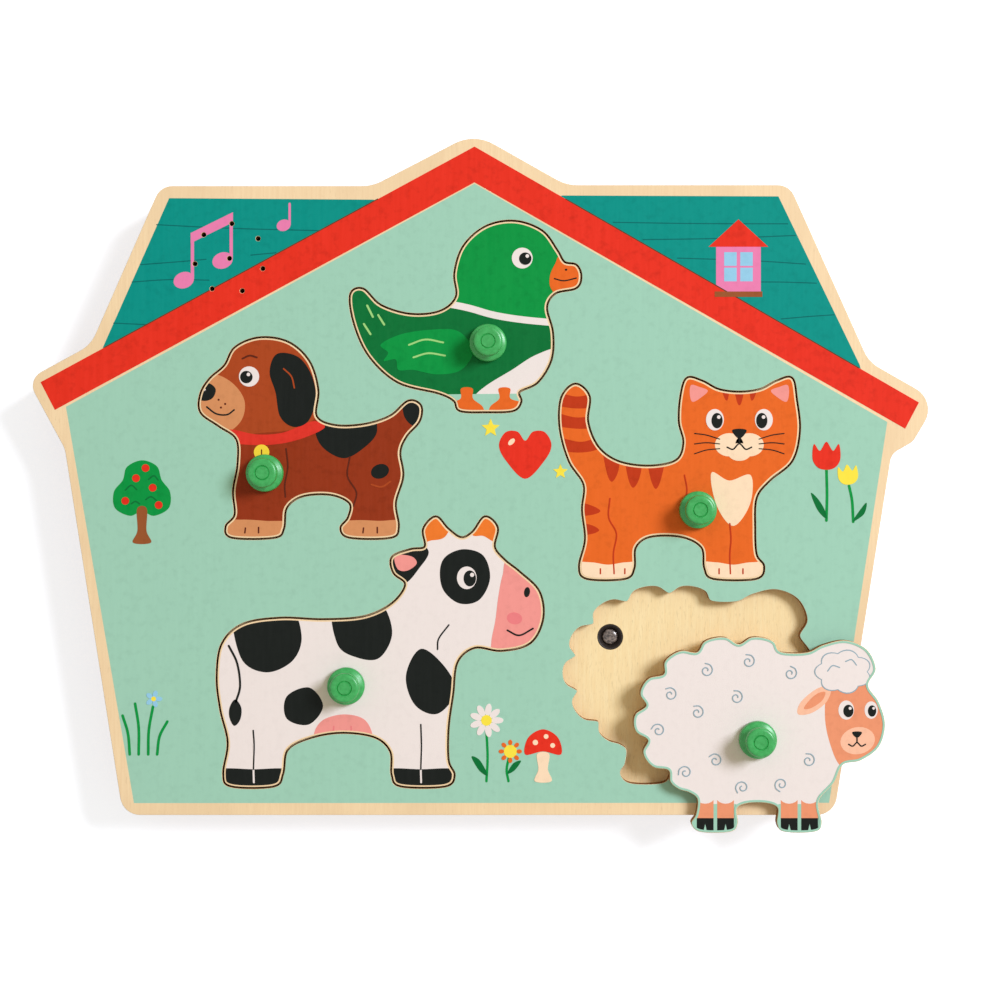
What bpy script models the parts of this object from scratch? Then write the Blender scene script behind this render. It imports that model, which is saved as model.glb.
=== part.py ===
"""Sound puzzle: a house-shaped plywood board with five lift-out animal pieces.

The board lies on its back. +Z is up out of the printed face, +Y points to the gable's peak and
+X to the right. The origin is on the outer back face, in the middle of the board. Under each
animal is a light sensor, and lifting or seating the animal makes the loudspeaker play its sound.
The sheep lies on the face beside its empty recess. Sizes are in metres, written as millimetres.
"""

import math

import bmesh
import bpy
from mathutils import Vector
from mathutils.geometry import interpolate_bezier

MM = 0.001

# Sheets of the board, and the glue line between them. The core is as thick as the battery box
BACK_THICKNESS = 3.0 * MM
FLOOR_THICKNESS = 3.0 * MM
FACE_THICKNESS = 4.0 * MM
GLUE_LINE = 0.1 * MM

# The house outline: corners in order, each with its rounding radius (mm)
HOUSE_CORNERS = [
    (-2.1, 115.35, 13.7),
    (-36.2, 97.6, 15.0),
    (-107.3, 97.6, 6.0),
    (-130.7, 44.3, 12.0),
    (-152.0, 32.7, 5.2),
    (-139.4, 9.5, 10.0),
    (-119.9, -113.35, 6.7),
    (118.6, -113.35, 6.7),
    (137.8, 7.7, 5.0),
    (145.1, 11.9, 5.0),
    (153.2, 25.5, 8.0),
    (130.3, 38.6, 12.0),
    (103.6, 97.9, 6.0),
    (28.8, 97.9, 15.0),
]

# Animal pieces: outlines about each knob's axis (mm), through which a smooth curve runs
DUCK_OUTLINE = [
    (31.0, 22.5), (29.5, 18.7), (22.5, 16.9), (19.5, 12.0), (21.5, 3.5), (21.0, -5.5),
    (16.5, -13.0), (10.4, -16.2), (10.9, -19.6), (8.3, -22.5), (-0.5, -22.9), (-9.3, -22.5),
    (-11.3, -19.2), (-16.5, -16.6), (-30.0, -13.0), (-39.5, -4.5), (-44.5, 6.0), (-46.0, 16.0),
    (-42.0, 18.0), (-36.0, 12.5), (-26.0, 9.5), (-16.0, 10.5), (-10.5, 15.5), (-11.0, 23.5),
    (-8.0, 32.5), (-0.5, 39.0), (9.0, 40.7), (18.0, 37.5), (23.0, 31.0), (25.5, 27.0), (29.5, 26.0),
]
DOG_OUTLINE = [
    (-21.5, 26.5), (-21.5, 20.5), (-15.5, 16.0), (-9.5, 11.5), (-9.0, 3.0), (-10.5, -6.0),
    (-10.0, -14.0), (-13.0, -18.0), (-11.0, -21.4), (3.0, -21.4), (6.0, -18.5), (7.0, -11.5),
    (12.5, -7.5), (22.0, -7.0), (28.5, -10.0), (28.0, -15.0), (25.5, -18.5), (28.5, -21.4),
    (42.0, -21.4), (44.5, -18.0), (43.5, -10.0), (46.0, -1.0), (45.0, 7.0), (47.2, 12.5),
    (51.5, 17.5), (52.0, 22.5), (48.0, 24.0), (42.0, 19.0), (33.5, 16.2), (23.5, 15.8),
    (17.0, 19.0), (17.5, 28.0), (14.5, 37.5), (7.5, 43.8), (-2.0, 45.2), (-10.0, 42.0),
    (-13.5, 36.0), (-18.5, 31.5),
]
CAT_OUTLINE = [
    (34.0, 26.5), (31.5, 16.5), (24.0, 10.0), (19.5, 4.0), (19.0, -6.0), (19.5, -15.0),
    (22.0, -19.0), (19.5, -22.9), (5.5, -22.9), (2.5, -19.5), (1.5, -12.5), (-5.5, -8.8),
    (-16.0, -8.8), (-21.0, -12.5), (-21.5, -19.5), (-24.5, -22.9), (-37.0, -22.9), (-39.5, -19.0),
    (-37.5, -10.0), (-38.5, 0.0), (-38.0, 8.5), (-43.0, 16.5), (-46.0, 27.5), (-45.5, 37.5),
    (-41.0, 42.0), (-36.5, 38.0), (-37.0, 29.5), (-33.5, 21.0), (-26.5, 16.0), (-16.0, 14.5),
    (-7.0, 16.5), (-4.5, 22.5), (-6.0, 29.5), (-5.5, 38.0), (-3.5, 44.0), (1.5, 43.0), (7.0, 40.2),
    (14.0, 39.3), (21.0, 40.2), (26.5, 43.0), (31.5, 44.0), (33.0, 37.0),
]
COW_OUTLINE = [
    (58.0, 38.0), (64.5, 31.5), (65.7, 22.5), (61.5, 14.5), (52.0, 12.0), (43.0, 13.0),
    (37.0, 8.0), (35.5, -3.0), (34.0, -14.0), (34.0, -25.0), (36.0, -30.0), (33.0, -33.5),
    (18.5, -33.5), (15.5, -30.0), (15.0, -22.0), (9.5, -17.0), (-2.0, -15.5), (-13.0, -17.5),
    (-20.0, -21.5), (-21.5, -29.5), (-24.5, -33.5), (-38.5, -33.5), (-41.0, -29.5),
    (-39.5, -19.0), (-42.0, -8.0), (-43.2, 3.0), (-41.5, 14.0), (-34.5, 20.5), (-22.0, 22.5),
    (-8.0, 22.0), (6.0, 23.0), (15.5, 27.5), (20.0, 34.0), (16.0, 38.0), (15.5, 43.0),
    (21.5, 45.5), (26.5, 46.5), (26.0, 52.5), (30.0, 56.5), (34.0, 52.5), (38.5, 49.5),
    (42.5, 51.5), (46.5, 56.5), (50.5, 53.0), (49.5, 46.5), (53.0, 42.0),
]

# The sheep: its fleece is a scalloped ellipse from behind the head round to the hind leg
FLEECE_CENTRE = (-6.0, 6.5)
FLEECE_RADII = (34.6, 27.6)
FLEECE_START = 64.0
FLEECE_END = 248.0
SCALLOPS = 7
SCALLOP_DIP_SHARE = 0.085
SCALLOP_CROWN_SHARE = 0.02
SHEEP_BELLY_AND_HEAD = [
    (-20.0, -20.0), (-20.5, -25.0), (-22.0, -28.0), (-19.0, -30.8), (-9.0, -30.8), (-6.5, -28.0),
    (-6.5, -22.5), (0.0, -21.0), (6.5, -22.5), (6.5, -28.0), (9.0, -30.8), (19.0, -30.8),
    (21.5, -28.0), (20.5, -20.5), (25.5, -14.5), (28.5, -8.5), (34.5, -7.0), (40.5, -2.5),
    (42.6, 5.0), (40.5, 12.5), (37.0, 18.0), (39.5, 23.5), (36.5, 30.0), (29.5, 33.0),
    (22.0, 31.5), (16.5, 29.0),
]

# Where each knob's axis stands on the board when its animal is seated (mm)
DUCK_PLACE = (2.5, 44.9)
DOG_PLACE = (-72.2, 1.3)
CAT_PLACE = (72.8, -11.0)
COW_PLACE = (-45.0, -70.0)
SHEEP_PLACE = (69.5, -71.3)

# How far the sheep lies from its own recess: right and towards the bottom edge (mm)
SHEEP_SHIFT = (22.8, -16.2)

PIECE_THICKNESS = 3.8 * MM
PIECE_CLEARANCE = 0.6 * MM
SEAT_GAP = 0.3 * MM

# Light sensors: where each looks up through the floor, under its animal (mm)
DUCK_SENSOR = (-8.0, 41.0)
DOG_SENSOR = (-62.0, 7.0)
CAT_SENSOR = (62.0, -7.5)
COW_SENSOR = (-66.0, -64.0)
SHEEP_SENSOR = (43.7, -53.9)

SENSOR_RADIUS = 2.55 * MM
SENSOR_HEIGHT = 2.2 * MM
SENSOR_SINK = 1.0 * MM
SENSOR_RIM = 0.3 * MM
SLEEVE_RADIUS = 4.3 * MM
SLEEVE_LENGTH = 7.0 * MM
SLEEVE_LEDGE = 1.0 * MM
SLEEVE_EYE_RADIUS = 1.5 * MM
SLEEVE_CLEARANCE = 0.1 * MM
WELL_RADIUS = 6.5 * MM
SENSOR_CLEARANCE = 0.2 * MM

# Knob: a turned button with a wide foot, a waist and a cap, held by a screw from below
KNOB_FOOT_RADIUS = 6.25 * MM
KNOB_FOOT_HEIGHT = 2.6 * MM
KNOB_WAIST_RADIUS = 4.1 * MM
KNOB_CAP_RADIUS = 4.9 * MM
KNOB_CAP_HEIGHT = 3.6 * MM
KNOB_HEIGHT = 9.0 * MM
KNOB_BORE_DEPTH = 6.0 * MM
KNOB_EDGE = 0.7 * MM
KNOB_RING_RADIUS = 2.3 * MM
KNOB_RING_WIDTH = 0.5 * MM
KNOB_RING_DEPTH = 0.5 * MM
KNOB_GAP = 0.1 * MM
SCREW_SHANK_RADIUS = 1.1 * MM
SCREW_HEAD_RADIUS = 2.6 * MM
SCREW_HEAD_HEIGHT = 1.4 * MM
SCREW_TAPER = 2.4 * MM
SCREW_TIP_RADIUS = 0.5 * MM
SCREW_TIP_HEIGHT = 0.45 * MM
SCREW_INSET = 0.2 * MM
SCREW_CLEARANCE = 0.25 * MM
SCREW_CROSS_RADIUS = 0.6 * MM
SCREW_CROSS_DEPTH = 0.6 * MM

# Loudspeaker, facing up behind the ring of sound holes
SPEAKER_PLACE = (-84.2, 73.3)
SPEAKER_RADIUS = 15.0 * MM
SPEAKER_RIM = 2.4 * MM
SPEAKER_SHEET = 0.8 * MM
SPEAKER_BASKET_DEPTH = 4.6 * MM
SPEAKER_BASKET_RADIUS = 8.5 * MM
MAGNET_RADIUS = 7.5 * MM
MAGNET_HEIGHT = 4.0 * MM
CONE_THICKNESS = 0.5 * MM
CONE_DEPTH = 2.2 * MM
CONE_ROLL = 1.5 * MM
CONE_DOME_RADIUS = 3.6 * MM
CONE_DOME_HEIGHT = 1.4 * MM
CONE_DOME_SHOULDER_RADIUS = 2.5 * MM
CONE_DOME_SHOULDER_HEIGHT = 0.85 * MM
CONE_CLEARANCE = 0.5 * MM
SOUND_HOLE_RADIUS = 0.8 * MM
SOUND_RING_RADIUS = 11.7 * MM
SOUND_RING_COUNT = 7
SOUND_RING_START = 86.0
POCKET_CLEARANCE = 0.4 * MM

# Battery box, entered from the back: two cells side by side along X, and a screw boss at the right
BOX_PLACE = (-4.0, -84.0)
CELL_LENGTH = 43.5 * MM
CELL_RADIUS = 5.2 * MM
CELL_EDGE = 0.6 * MM
CELL_GAP = 0.4 * MM
CELL_NIPPLE_RADIUS = 1.9 * MM
CELL_NIPPLE_LENGTH = 1.0 * MM
CONTACT_ROOM = 4.4 * MM
CONTACT_THICKNESS = 0.4 * MM
CONTACT_HEIGHT = 7.0 * MM
SPRING_BASE_RADIUS = 2.8 * MM
SPRING_TIP_RADIUS = 1.6 * MM
BOX_WALL = 1.6 * MM
BOX_CEILING = 1.0 * MM
BOX_BOSS = 8.0 * MM
BOX_INSET = 0.3 * MM

# Battery door: its round nose turns behind the box's lip, and a screw holds the other end
DOOR_THICKNESS = 1.5 * MM
DOOR_CLEARANCE = 0.3 * MM
DOOR_LIP = 0.8 * MM
DOOR_LIP_SHY = 0.45 * MM
DOOR_SCREW_LENGTH = 5.0 * MM
GRIP_GROOVES = 3
GRIP_WIDTH = 0.8 * MM
GRIP_PITCH = 2.4 * MM
GRIP_LENGTH = 7.1 * MM

# Circuit board, taped under the recess floor. Its solder pads are named by side and row
CIRCUIT_PLACE = (0.0, -19.0)
CIRCUIT_LENGTH = 38.0 * MM
CIRCUIT_WIDTH = 22.0 * MM
CIRCUIT_THICKNESS = 1.6 * MM
CHIP_RADIUS = 5.0 * MM
CHIP_SHOULDER_RADIUS = 4.5 * MM
CHIP_CROWN_RADIUS = 3.0 * MM
CHIP_HEIGHT = 1.6 * MM
CHIP_SHOULDER_HEIGHT = 0.8 * MM
CHIP_CROWN_HEIGHT = 0.2 * MM
TAPE_GAP = 0.2 * MM
PAD_INSET = 2.2 * MM
PAD_PITCH = 5.5 * MM

# Slide switch, on the inside of the back panel beside the battery box
SWITCH_PLACE = (-46.0, -84.0)
SWITCH_LENGTH = 12.0 * MM
SWITCH_WIDTH = 6.0 * MM
SWITCH_HEIGHT = 4.5 * MM
SWITCH_TRAVEL = 3.0 * MM
SLIDER_LENGTH = 4.0 * MM
SLIDER_WIDTH = 3.0 * MM
SLIDER_DEPTH = 1.5 * MM
SLIDER_INSET = 0.5 * MM
SLIDER_CLEARANCE = 0.3 * MM
SLIDER_RIBS = 3
SLIDER_RIB_DEPTH = 0.4 * MM

# Back panel screws (mm), and the leads with the channels that they lie in
BACK_SCREWS = [
    (-52.0, 88.0), (58.0, 88.0), (-131.0, 28.0), (131.0, 20.0), (-110.0, -103.0), (109.0, -103.0),
]
BACK_SCREW_LENGTH = 12.0 * MM
WIRE_RADIUS = 0.9 * MM
WIRE_GAP = 0.3 * MM
WIRE_DROP = 5.0 * MM
WIRE_BEND = 3.0 * MM
SLACK = 1.0 * MM
CHANNEL_WIDTH = 4.0 * MM
CUTTER_MARGIN = 1.0 * MM

# How finely curves are drawn: a point for each turn or reach
CURVE_TURN = math.radians(16.0)
CURVE_REACH = 11.0 * MM
ARC_STEP = math.radians(18.0)
TURNED_STEPS = 20
KNOB_STEPS = 16
SMALL_TURNED_STEPS = 12
SCREW_STEPS = 10
SOUND_HOLE_STEPS = 8
NOSE_STEPS = 6
OUTLINE_SAMPLES = 10
WIRE_STEPS = 2
SMOOTH_ANGLE = math.radians(40.0)
SHARPEST_MITRE = 0.5
WELD_DISTANCE = 0.000001

# Heights worked out from the sheets, from the outer back face up
CORE_BOTTOM = BACK_THICKNESS + GLUE_LINE
DOOR_BOTTOM = BOX_INSET + DOOR_LIP + DOOR_CLEARANCE
CELL_AXIS = DOOR_BOTTOM + DOOR_THICKNESS + DOOR_CLEARANCE + CELL_RADIUS
BOX_TOP = CELL_AXIS + CELL_RADIUS + CELL_GAP + BOX_CEILING
FLOOR_BOTTOM = BOX_TOP + TAPE_GAP
CORE_TOP = FLOOR_BOTTOM - GLUE_LINE
FLOOR_TOP = FLOOR_BOTTOM + FLOOR_THICKNESS
FACE_BOTTOM = FLOOR_TOP + GLUE_LINE
FACE_TOP = FACE_BOTTOM + FACE_THICKNESS
SEATED_BOTTOM = FLOOR_TOP + SEAT_GAP
LYING_BOTTOM = FACE_TOP + SEAT_GAP
CIRCUIT_BOTTOM = FLOOR_BOTTOM - TAPE_GAP - CIRCUIT_THICKNESS
WIRE_HEIGHT = CIRCUIT_BOTTOM - WIRE_DROP
CHANNEL_FLOOR = WIRE_HEIGHT - WIRE_RADIUS - POCKET_CLEARANCE
SENSOR_BOTTOM = FLOOR_TOP - SENSOR_SINK - SENSOR_HEIGHT

# The battery box's inside, and its whole length with the screw boss
BOX_INSIDE_LENGTH = CELL_LENGTH + CELL_NIPPLE_LENGTH + CONTACT_ROOM + 2 * CONTACT_THICKNESS
BOX_INSIDE_WIDTH = 4 * CELL_RADIUS + 3 * CELL_GAP
BOX_WIDTH = BOX_INSIDE_WIDTH + 2 * BOX_WALL
BOX_LENGTH = BOX_INSIDE_LENGTH + 2 * BOX_WALL + BOX_BOSS


def clear_scene():
    for obj in list(bpy.data.objects):
        bpy.data.objects.remove(obj, do_unlink=True)


def metres(point):
    """A point or place written in millimetres, in metres."""
    return (point[0] * MM, point[1] * MM)


def moved(points, place):
    return [(x + place[0], y + place[1]) for x, y in points]


def material(name, colour, roughness, metallic=0.0):
    made = bpy.data.materials.new(name)
    made.use_nodes = True
    shader = made.node_tree.nodes["Principled BSDF"]
    shader.inputs["Base Color"].default_value = (*colour, 1.0)
    shader.inputs["Roughness"].default_value = roughness
    shader.inputs["Metallic"].default_value = metallic
    made.diffuse_color = (*colour, 1.0)
    return made


def circle(radius, centre=(0.0, 0.0), steps=SMALL_TURNED_STEPS):
    return [
        (
            centre[0] + radius * math.cos(math.tau * k / steps),
            centre[1] + radius * math.sin(math.tau * k / steps),
        )
        for k in range(steps)
    ]


def rectangle(length, width, centre=(0.0, 0.0)):
    x, y = centre
    return [
        (x - length / 2, y - width / 2),
        (x + length / 2, y - width / 2),
        (x + length / 2, y + width / 2),
        (x - length / 2, y + width / 2),
    ]


def rounded_outline(corners):
    """Straight sides joined by arcs at the given corners (x, y, radius in mm)."""
    points = []
    count = len(corners)
    for k, (x, y, radius) in enumerate(corners):
        before = corners[k - 1]
        after = corners[(k + 1) % count]
        way_in = math.atan2(y - before[1], x - before[0])
        way_out = math.atan2(after[1] - y, after[0] - x)
        turn = (way_out - way_in + math.pi) % math.tau - math.pi
        reach = radius * math.tan(abs(turn) / 2)
        side = math.copysign(math.pi / 2, turn)
        centre = (
            x - reach * math.cos(way_in) + radius * math.cos(way_in + side),
            y - reach * math.sin(way_in) + radius * math.sin(way_in + side),
        )
        steps = max(2, math.ceil(abs(turn) / ARC_STEP))
        for step in range(steps + 1):
            angle = way_in - side + turn * step / steps
            points.append(
                metres((centre[0] + radius * math.cos(angle), centre[1] + radius * math.sin(angle)))
            )
    return points


def span_point(p0, p1, p2, p3, share):
    """A point between p1 and p2 on the smooth curve through all four."""
    return tuple(
        0.5
        * (
            2 * b
            + (c - a) * share
            + (2 * a - 5 * b + 4 * c - d) * share**2
            + (3 * b - a - 3 * c + d) * share**3
        )
        for a, b, c, d in zip(p0, p1, p2, p3)
    )


def smooth_outline(marks):
    """A closed smooth curve through marks (mm), with points kept where it turns."""
    count = len(marks)
    fine = [
        metres(
            span_point(
                marks[k - 1], marks[k], marks[(k + 1) % count], marks[(k + 2) % count],
                step / OUTLINE_SAMPLES,
            )
        )
        for k in range(count)
        for step in range(OUTLINE_SAMPLES)
    ]
    kept = [fine[0]]
    heading = None
    for k in range(1, len(fine)):
        here = fine[k]
        after = fine[(k + 1) % len(fine)]
        next_heading = math.atan2(after[1] - here[1], after[0] - here[0])
        if heading is None:
            heading = math.atan2(here[1] - kept[-1][1], here[0] - kept[-1][0])
        turned_by = abs((next_heading - heading + math.pi) % math.tau - math.pi)
        if turned_by > CURVE_TURN or math.dist(here, kept[-1]) > CURVE_REACH:
            kept.append(here)
            heading = next_heading
    return kept


def offset_outline(points, distance):
    """The closed outline moved outwards by distance, or inwards where it is negative."""
    area = sum(
        a[0] * b[1] - b[0] * a[1] for a, b in zip(points, points[1:] + points[:1])
    )
    outward = math.copysign(1.0, area)
    result = []
    count = len(points)
    for k, (x, y) in enumerate(points):
        before = points[k - 1]
        after = points[(k + 1) % count]
        first = math.atan2(y - before[1], x - before[0])
        second = math.atan2(after[1] - y, after[0] - x)
        half = ((second - first + math.pi) % math.tau - math.pi) / 2
        normal = first + half - outward * math.pi / 2
        reach = distance / max(math.cos(half), SHARPEST_MITRE)
        result.append((x + reach * math.cos(normal), y + reach * math.sin(normal)))
    return result


def sheep_marks():
    """The sheep's outline: scallops round the fleece, then the legs, belly and head."""
    valley = 1.0 - SCALLOP_DIP_SHARE
    crown = 1.0 + SCALLOP_CROWN_SHARE
    scallop = ((0.0, valley), (0.25, 1.0), (0.5, crown), (0.75, 1.0))
    step = (FLEECE_END - FLEECE_START) / SCALLOPS
    marks = []
    for k in range(SCALLOPS):
        for share, reach in scallop:
            angle = math.radians(FLEECE_START + (k + share) * step)
            marks.append(
                (
                    FLEECE_CENTRE[0] + FLEECE_RADII[0] * reach * math.cos(angle),
                    FLEECE_CENTRE[1] + FLEECE_RADII[1] * reach * math.sin(angle),
                )
            )
    return marks + SHEEP_BELLY_AND_HEAD


def plate(name, outlines, bottom, thickness, finish, group):
    """A flat plate between heights bottom and bottom + thickness; later outlines are holes."""
    curve = bpy.data.curves.new(name, "CURVE")
    curve.dimensions = "2D"
    curve.fill_mode = "BOTH"
    curve.extrude = thickness / 2
    for outline in outlines:
        spline = curve.splines.new("POLY")
        spline.points.add(len(outline) - 1)
        for point, (x, y) in zip(spline.points, outline):
            point.co = (x, y, 0.0, 1.0)
        spline.use_cyclic_u = True
    curve.materials.append(finish)
    obj = bpy.data.objects.new(name, curve)
    obj.location = (0.0, 0.0, bottom + thickness / 2)
    group.objects.link(obj)
    return obj


def as_mesh(obj, group):
    """The object made a mesh with welded caps, flat where it has edges and smooth elsewhere."""
    bpy.context.view_layer.update()
    graph = bpy.context.evaluated_depsgraph_get()
    mesh = bpy.data.meshes.new_from_object(obj.evaluated_get(graph))
    edit = bmesh.new()
    edit.from_mesh(mesh)
    bmesh.ops.remove_doubles(edit, verts=edit.verts, dist=WELD_DISTANCE)
    bmesh.ops.recalc_face_normals(edit, faces=edit.faces)
    edit.to_mesh(mesh)
    edit.free()
    mesh.shade_smooth()
    mesh.set_sharp_from_angle(angle=SMOOTH_ANGLE)
    name = obj.name
    place = obj.matrix_world.copy()
    bpy.data.objects.remove(obj, do_unlink=True)
    made = bpy.data.objects.new(name, mesh)
    made.matrix_world = place
    group.objects.link(made)
    return made


def turned(name, profile, centre, base, finish, group, steps=TURNED_STEPS):
    """A turned solid: profile points (radius, height) run down its outer side."""
    mesh = bpy.data.meshes.new(name)
    edit = bmesh.new()
    rows = [edit.verts.new((radius, 0.0, height)) for radius, height in profile]
    for first, second in zip(rows, rows[1:]):
        edit.edges.new((first, second))
    if profile[0][0] > WELD_DISTANCE and profile[-1][0] > WELD_DISTANCE:
        edit.edges.new((rows[-1], rows[0]))
    edit.to_mesh(mesh)
    edit.free()
    mesh.materials.append(finish)
    obj = bpy.data.objects.new(name, mesh)
    obj.location = (centre[0], centre[1], base)
    spin = obj.modifiers.new("turn", "SCREW")
    spin.steps = steps
    spin.render_steps = steps
    spin.use_merge_vertices = True
    spin.merge_threshold = WELD_DISTANCE
    group.objects.link(obj)
    return obj


def turned_mesh(name, profile, centre, base, finish, group, steps=TURNED_STEPS):
    return as_mesh(turned(name, profile, centre, base, finish, group, steps), group)


def block(name, size, centre, bottom, finish, group):
    """A box with its lowest face at height bottom."""
    mesh = bpy.data.meshes.new(name)
    edit = bmesh.new()
    bmesh.ops.create_cube(edit, size=1.0)
    bmesh.ops.scale(edit, vec=size, verts=edit.verts)
    edit.to_mesh(mesh)
    edit.free()
    mesh.materials.append(finish)
    obj = bpy.data.objects.new(name, mesh)
    obj.location = (centre[0], centre[1], bottom + size[2] / 2)
    group.objects.link(obj)
    return obj


def smooth_route(points):
    """Points along a curve that passes through the given ones and turns gently at each."""
    points = [Vector(point) for point in points]
    chords = [(end - start).normalized() for start, end in zip(points, points[1:])]
    headings = [chords[0]]
    headings += [(before + after).normalized() for before, after in zip(chords, chords[1:])]
    headings.append(chords[-1])
    route = []
    for k, (start, end) in enumerate(zip(points, points[1:])):
        pull = min((end - start).length / 3, WIRE_BEND / 2)
        span = interpolate_bezier(
            start, start + headings[k] * pull, end - headings[k + 1] * pull, end, WIRE_STEPS + 1
        )
        route += span[:-1]
    return [*route, points[-1]]


def wire(name, points, finish, group):
    """A round wire along a smooth route through points."""
    route = smooth_route(points)
    curve = bpy.data.curves.new(name, "CURVE")
    curve.dimensions = "3D"
    curve.bevel_depth = WIRE_RADIUS
    curve.bevel_resolution = 1
    curve.use_fill_caps = True
    spline = curve.splines.new("POLY")
    spline.points.add(len(route) - 1)
    for point, place in zip(spline.points, route):
        point.co = (*place, 1.0)
    curve.materials.append(finish)
    obj = bpy.data.objects.new(name, curve)
    group.objects.link(obj)
    return obj


def cut(obj, tools, operation="DIFFERENCE"):
    for number, tool in enumerate(tools):
        modifier = obj.modifiers.new(f"cut_{number}", "BOOLEAN")
        modifier.operation = operation
        modifier.object = tool


def helper(obj):
    """Marks a cutter, so that it isn't part of the model."""
    obj.hide_render = True
    obj.display_type = "WIRE"
    return obj


def screw_profile(length):
    """A countersunk screw, head down: from the tip down to the cross recess in the head."""
    neck = SCREW_HEAD_HEIGHT
    return [
        (0.0, length),
        (SCREW_TIP_RADIUS, length - SCREW_TIP_HEIGHT),
        (SCREW_SHANK_RADIUS, length - SCREW_TAPER),
        (SCREW_SHANK_RADIUS, neck),
        (SCREW_HEAD_RADIUS, 0.0),
        (SCREW_CROSS_RADIUS, 0.0),
        (0.0, SCREW_CROSS_DEPTH),
    ]


def screw_cutter(name, centre, face, depth, group, finish):
    """The hole for a countersunk screw that goes up from height face."""
    wide = SCREW_HEAD_RADIUS + SCREW_CLEARANCE
    narrow = SCREW_SHANK_RADIUS + SCREW_CLEARANCE
    sink = SCREW_INSET + SCREW_HEAD_HEIGHT
    profile = [
        (0.0, depth),
        (narrow, depth),
        (narrow, sink),
        (wide, SCREW_INSET),
        (wide, -CUTTER_MARGIN),
        (0.0, -CUTTER_MARGIN),
    ]
    return helper(turned(name, profile, centre, face, finish, group, SCREW_STEPS))


def knob_profile():
    """The knob from the middle of its cap down its outside and up its blind bore."""
    foot = KNOB_FOOT_RADIUS
    cap = KNOB_CAP_RADIUS
    top = KNOB_HEIGHT
    cap_under = KNOB_HEIGHT - KNOB_CAP_HEIGHT
    bore = SCREW_SHANK_RADIUS + SCREW_CLEARANCE
    return [
        (0.0, top),
        (KNOB_RING_RADIUS - KNOB_RING_WIDTH / 2, top),
        (KNOB_RING_RADIUS, top - KNOB_RING_DEPTH),
        (KNOB_RING_RADIUS + KNOB_RING_WIDTH / 2, top),
        (cap - KNOB_EDGE, top),
        (cap, top - KNOB_EDGE),
        (cap, cap_under + KNOB_EDGE),
        (KNOB_WAIST_RADIUS, cap_under),
        (KNOB_WAIST_RADIUS, KNOB_FOOT_HEIGHT),
        (foot - KNOB_EDGE, KNOB_FOOT_HEIGHT),
        (foot, KNOB_FOOT_HEIGHT - KNOB_EDGE),
        (foot, 0.0),
        (bore, 0.0),
        (bore, KNOB_BORE_DEPTH),
        (0.0, KNOB_BORE_DEPTH),
    ]


def make_piece(animal, outline, place, bottom, finishes, group, cutters):
    """One animal: its plywood cut-out, its knob and the screw that holds the knob."""
    centre = metres(place)
    steel = finishes["steel"]
    body = plate(
        f"{animal}_piece", [moved(outline, centre)], bottom, PIECE_THICKNESS, finishes[animal], group
    )
    body = as_mesh(body, group)
    depth = PIECE_THICKNESS + CUTTER_MARGIN
    cut(body, [screw_cutter(f"{animal}_screw_hole", centre, bottom, depth, cutters, steel)])
    top = bottom + PIECE_THICKNESS + KNOB_GAP
    turned_mesh(f"{animal}_knob", knob_profile(), centre, top, finishes["knob"], group, KNOB_STEPS)
    length = PIECE_THICKNESS + KNOB_GAP + KNOB_BORE_DEPTH - SCREW_INSET - SCREW_CLEARANCE
    turned_mesh(
        f"{animal}_knob_screw", screw_profile(length), centre, bottom + SCREW_INSET, steel, group,
        SCREW_STEPS,
    )


def make_sensor(animal, place, finishes, group):
    """A light sensor on the ledge of its black sleeve, which is flush with the recess floor."""
    inner = SENSOR_RADIUS + SENSOR_CLEARANCE
    bottom = FLOOR_TOP - SLEEVE_LENGTH
    ledge = SENSOR_BOTTOM - SENSOR_CLEARANCE - bottom
    turned_mesh(
        f"sensor_sleeve_{animal}",
        [
            (inner, SLEEVE_LENGTH),
            (SLEEVE_RADIUS, SLEEVE_LENGTH),
            (SLEEVE_RADIUS, 0.0),
            (inner, 0.0),
            (inner, ledge - SLEEVE_LEDGE),
            (SLEEVE_EYE_RADIUS, ledge - SLEEVE_LEDGE),
            (SLEEVE_EYE_RADIUS, ledge),
            (inner, ledge),
        ],
        place,
        bottom,
        finishes["black_plastic"],
        group,
        SMALL_TURNED_STEPS,
    )
    turned_mesh(
        f"light_sensor_{animal}",
        [
            (0.0, SENSOR_HEIGHT),
            (SENSOR_RADIUS - SENSOR_RIM, SENSOR_HEIGHT),
            (SENSOR_RADIUS, SENSOR_HEIGHT - SENSOR_RIM),
            (SENSOR_RADIUS, 0.0),
            (0.0, 0.0),
        ],
        place,
        SENSOR_BOTTOM,
        finishes["sensor"],
        group,
        SMALL_TURNED_STEPS,
    )


def solder_pad(side, row):
    """A pad near an end of the circuit board (side -1 or 1), or along its edge (side 0)."""
    x, y = metres(CIRCUIT_PLACE)
    if side:
        return (x + side * (CIRCUIT_LENGTH / 2 - PAD_INSET), y + row * PAD_PITCH)
    edge = math.copysign(CIRCUIT_WIDTH / 2 - PAD_INSET, row)
    return (x + (abs(row) - 1) * PAD_PITCH, y + edge)


def sensor_routes():
    """For each sensor: where it is, and the solder pad that its lead goes to."""
    return {
        "duck": (metres(DUCK_SENSOR), solder_pad(0, 1)),
        "dog": (metres(DOG_SENSOR), solder_pad(-1, 0)),
        "cat": (metres(CAT_SENSOR), solder_pad(1, 1)),
        "cow": (metres(COW_SENSOR), solder_pad(-1, -1)),
        "sheep": (metres(SHEEP_SENSOR), solder_pad(1, -1)),
    }


class Direction:
    """The straight way between two points on the plan."""

    def __init__(self, start, end):
        self.start = start
        self.length = math.dist(start, end)
        self.step = tuple((b - a) / self.length for a, b in zip(start, end))

    def at(self, distance):
        return tuple(a + s * distance for a, s in zip(self.start, self.step))


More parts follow.
